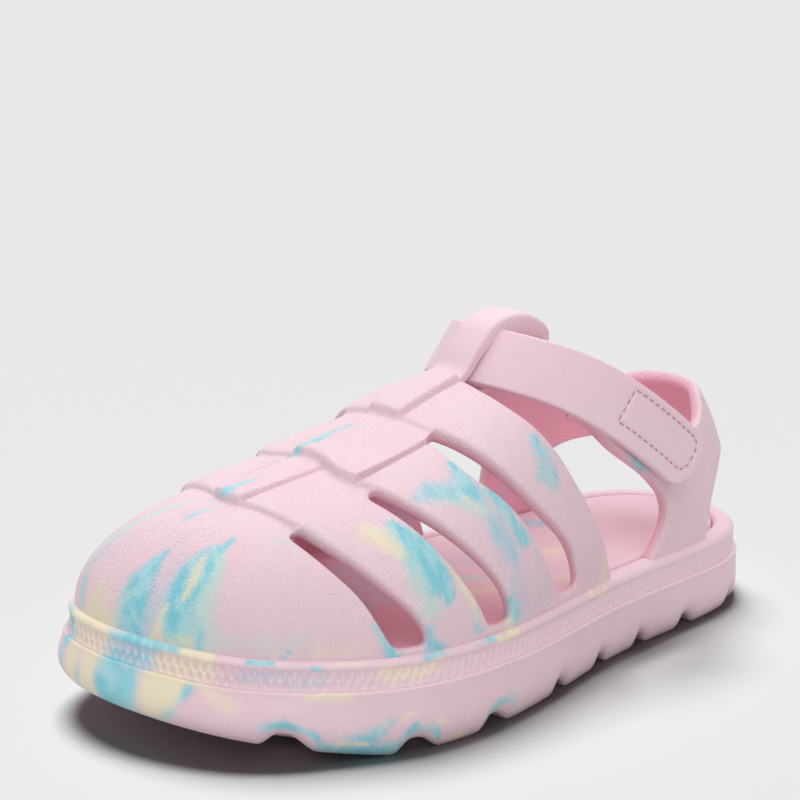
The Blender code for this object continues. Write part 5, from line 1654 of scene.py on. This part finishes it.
@dataclass(frozen=True)
class FoamFinish:
    """Matte moulded foam: skin grain, marbling, painted shade on inner faces and, on the rim, dimples that
    keep the plain pink.
    """

    name: str
    roughness: float
    grain_scale: float
    grain_height: float
    fibre: float
    dimpled: bool = False
    light: Colour = PALETTE.pink
    deep: Colour = PALETTE.rose
    bump_strength: float = 0.55
    hollow_shade_tint: float = 0.35
    specular: float = 0.5
    sheen: float = 0.2
    sheen_roughness: float = 0.6

    def build(self, groups: FoamGroups) -> bpy.types.Material:
        """Makes the material.

        Args:
            groups: The shared shader groups.

        Returns:
            The material.
        """
        material = bpy.data.materials.new(self.name)
        material.use_nodes = True
        tree = material.node_tree
        sheet = NodeSheet(tree)
        shader = tree.nodes["Principled BSDF"]
        place = sheet.add("ShaderNodeTexCoord").outputs["Object"]
        skin = sheet.add("ShaderNodeGroup", {"node_tree": groups.grain}, Vector=place, Scale=self.grain_scale,
                         Light=rgba(self.light), Deep=rgba(self.deep), Roughness=self.roughness)
        across, along, inside = (sheet.attribute(name) for name in ("across", "along", "inside"))
        field, mint = (sheet.attribute("marble", output) for output in ("Color", "Alpha"))
        # Painted shade: where inside is set, the base turns a deeper, more saturated pink, standing in for
        # the shade on inner faces and the insole's front.
        base = sheet.blend(inside, skin.outputs["Colour"], rgba(PALETTE.inner_shade_pink))
        marble = sheet.add("ShaderNodeGroup", {"node_tree": groups.marble}, Base=base, Vector=place,
                           Across=across, Along=along, Field=field, Mint=mint, Fibre=self.fibre)
        colour = marble.outputs["Colour"]
        if self.dimpled:
            dimple = sheet.attribute("dimple")
            # The dimples keep the plain pink; painted shade turns their hollows towards a darker, cooler
            # lavender.
            hollow = sheet.blend(self.hollow_shade_tint, skin.outputs["Colour"], rgba(PALETTE.lavender))
            colour = sheet.blend(sheet.ramp(dimple, 0.3, 0.85, 0.0, 0.7), colour, hollow)
        bump = sheet.add("ShaderNodeBump", Strength=self.bump_strength,
                         Distance=self.grain_height * MILLIMETRE, Height=skin.outputs["Height"])
        tree.links.new(colour, shader.inputs["Base Color"])
        tree.links.new(skin.outputs["Roughness"], shader.inputs["Roughness"])
        tree.links.new(bump.outputs["Normal"], shader.inputs["Normal"])
        shader.inputs["Specular IOR Level"].default_value = self.specular
        shader.inputs["Sheen Weight"].default_value = self.sheen
        shader.inputs["Sheen Roughness"].default_value = self.sheen_roughness
        return material


@dataclass(frozen=True)
class ThreadFinish:
    """Twisted sewing thread or woven tape: a fine slanted wave in colour and height, darker in the wave's
    troughs as painted shade.
    """

    name: str
    colour: Colour
    twist_scale: float
    roughness: float
    trough_shade_share: float = 0.6
    bump_strength: float = 0.5
    bump_height: float = 0.1

    def build(self) -> bpy.types.Material:
        """Makes the material.

        Returns:
            The material.
        """
        material = bpy.data.materials.new(self.name)
        material.use_nodes = True
        tree = material.node_tree
        sheet = NodeSheet(tree)
        shader = tree.nodes["Principled BSDF"]
        place = sheet.add("ShaderNodeTexCoord").outputs["Object"]
        twist = sheet.add("ShaderNodeTexWave", {"bands_direction": "DIAGONAL"}, Vector=place,
                          Scale=self.twist_scale, Distortion=1.5, Detail=1.0).outputs["Fac"]
        # Painted shade: the colour darkens where the wave's height is low.
        trough_shade = tuple(self.trough_shade_share * part for part in self.colour)
        colour = sheet.blend(twist, rgba(trough_shade), rgba(self.colour))
        bump = sheet.add("ShaderNodeBump", Strength=self.bump_strength,
                         Distance=self.bump_height * MILLIMETRE, Height=twist)
        tree.links.new(colour, shader.inputs["Base Color"])
        tree.links.new(bump.outputs["Normal"], shader.inputs["Normal"])
        shader.inputs["Roughness"].default_value = self.roughness
        return material


FOAMS = (
    FoamFinish("marbled_upper", roughness=0.5, grain_scale=2300.0, grain_height=0.6, fibre=0.5),
    FoamFinish("marbled_rim", roughness=0.56, grain_scale=1500.0, grain_height=0.08, fibre=0.2, dimpled=True),
    FoamFinish("marbled_sole", roughness=0.6, grain_scale=1300.0, grain_height=0.12, fibre=0.2),
    FoamFinish("marbled_footbed", roughness=0.65, grain_scale=1100.0, grain_height=0.1, fibre=0.2),
    FoamFinish("strap_foam", roughness=0.5, grain_scale=1700.0, grain_height=0.06, fibre=0.3),
)
THREADS = (
    ThreadFinish("tab_thread", PALETTE.thread, twist_scale=900.0, roughness=0.7),
    ThreadFinish("hook_tape", PALETTE.rose, twist_scale=500.0, roughness=0.9),
)


@dataclass
class Studio:
    """Pale floor, soft light and the camera at the photo's angle."""

    azimuth: float = 50.0
    elevation: float = 19.0
    distance: float = 560.0
    aim: tuple = (-11.0, -27.0, 25.0)
    drop_pixels: float = 120.0
    focal_pixels: float = 2240.0
    image_pixels: float = 800.0
    sensor: float = 36.0
    floor_half: float = 6000.0
    floor_grey: float = 0.5
    floor_roughness: float = 0.9
    floor_specular: float = 0.1
    ground_sun: tuple = (5.2, 30.0, 256.0, 74.0)
    dome_sun: tuple = (2.92, 104.0, 330.0, 86.0)
    back_sun: tuple = (1.0, 70.0, 235.0, 32.0)
    front_sun: tuple = (1.06, 80.0, 62.0, 14.0)
    ambient: float = 0.03

    def build_camera(self) -> None:
        """Places the camera on its sight line and turns it so that the aim lies below the frame's middle."""
        turn, rise = math.radians(self.azimuth), math.radians(self.elevation)
        pitch = rise - math.atan(self.drop_pixels / self.focal_pixels)
        sight = np.array([math.cos(turn) * math.cos(rise), math.sin(turn) * math.cos(rise), math.sin(rise)])
        eye = Vector((sight * self.distance + self.aim - SOLE_MIDDLE) * MILLIMETRE)
        back = Vector((math.cos(turn) * math.cos(pitch), math.sin(turn) * math.cos(pitch), math.sin(pitch)))
        right = Vector((0, 0, 1)).cross(back).normalized()
        up = back.cross(right)
        data = bpy.data.cameras.new("photo_camera")
        data.sensor_width = self.sensor
        data.lens = self.focal_pixels / self.image_pixels * self.sensor
        data.clip_start = 0.01
        camera = bpy.data.objects.new("photo_camera", data)
        camera.matrix_world = Matrix((right, up, back)).transposed().to_4x4()
        camera.location = eye
        bpy.context.collection.objects.link(camera)
        bpy.context.scene.camera = camera

    def build_floor(self) -> bpy.types.Object:
        """Lays a large pale floor under the shoe.

        Returns:
            The floor.
        """
        half = self.floor_half * MILLIMETRE
        mesh = bpy.data.meshes.new("studio_floor")
        corners = [(-half, -half, 0), (half, -half, 0), (half, half, 0), (-half, half, 0)]
        mesh.from_pydata(corners, [], [(0, 1, 2, 3)])
        floor = bpy.data.objects.new("studio_floor", mesh)
        bpy.context.collection.objects.link(floor)
        material = bpy.data.materials.new("pale_floor")
        material.use_nodes = True
        shader = material.node_tree.nodes["Principled BSDF"]
        shader.inputs["Base Color"].default_value = rgba((self.floor_grey,) * 3)
        shader.inputs["Roughness"].default_value = self.floor_roughness
        shader.inputs["Specular IOR Level"].default_value = self.floor_specular
        mesh.materials.append(material)
        return floor

    @staticmethod
    def add_sun(name: str, setting: tuple, lit: list[bpy.types.Object]) -> None:
        """Adds a sun light that reaches only some objects.

        Args:
            name: Its name.
            setting: Irradiance, then degrees: spread, and the azimuth and elevation that it shines from.
            lit: The objects that it lights.
        """
        data = bpy.data.lights.new(name, "SUN")
        data.energy = setting[0]
        data.angle, turn, rise = (math.radians(part) for part in setting[1:])
        ray = Vector((math.cos(turn) * math.cos(rise), math.sin(turn) * math.cos(rise), math.sin(rise)))
        sun = bpy.data.objects.new(name, data)
        sun.rotation_euler = ray.to_track_quat("Z", "Y").to_euler()
        bpy.context.collection.objects.link(sun)
        reached = bpy.data.collections.new(name + "_reaches")
        for piece in lit:
            reached.objects.link(piece)
        sun.light_linking.receiver_collection = reached

    def build_light(self, floor: bpy.types.Object, pieces: list[bpy.types.Object]) -> None:
        """Lights the floor from behind, the shoe from above, front and back, and both by a faint surround.

        Args:
            floor: The floor.
            pieces: The shoe's pieces.
        """
        self.add_sun("ground", self.ground_sun, [floor])
        self.add_sun("dome", self.dome_sun, pieces)
        self.add_sun("front", self.front_sun, pieces)
        self.add_sun("back", self.back_sun, pieces)
        world = bpy.data.worlds.new("surround")
        world.use_nodes = True
        sky = world.node_tree.nodes["Background"]
        sky.inputs["Color"].default_value = (1, 1, 1, 1)
        sky.inputs["Strength"].default_value = self.ambient
        bpy.context.scene.world = world

    def build(self, pieces: list[bpy.types.Object]) -> None:
        """Builds floor, light and camera around the shoe's pieces."""
        self.build_light(self.build_floor(), pieces)
        self.build_camera()
        bpy.context.scene.view_settings.view_transform = "Standard"


def main() -> None:
    """Builds the shoe's pieces in order, dresses them and sets the studio."""
    logging.basicConfig(level=logging.INFO, format="%(message)s")
    for old in list(bpy.data.objects):
        bpy.data.objects.remove(old)
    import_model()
    last = Last()
    groups = FoamGroups()
    skin, rim, tread, bed, strap_skin = (foam.build(groups) for foam in FOAMS)
    thread, tape = (finish.build() for finish in THREADS)

    strap = AnkleStrap()
    pieces = [
        settle(SoleUnit(last).build(), "sole", tread, "sole"),
        settle(Footbed(last).build(), "insole", bed, "insole"),
        settle(UpperShell(last).build(), "upper", skin, "upper"),
        settle(RimBand(last).build(), "upper", rim),
        settle(KeeperLoop().build(), "upper", strap_skin),
        settle(strap.build_strap(), "ankle_strap", strap_skin, "ankle_strap"),
        settle(strap.build_pad(), "hook_pad", tape, "hook_pad"),
        settle(strap.build_stitches(), "ankle_strap", thread),
    ]
    Studio().build(pieces)

    bpy.context.view_layer.update()


if __name__ == "__main__":
    main()
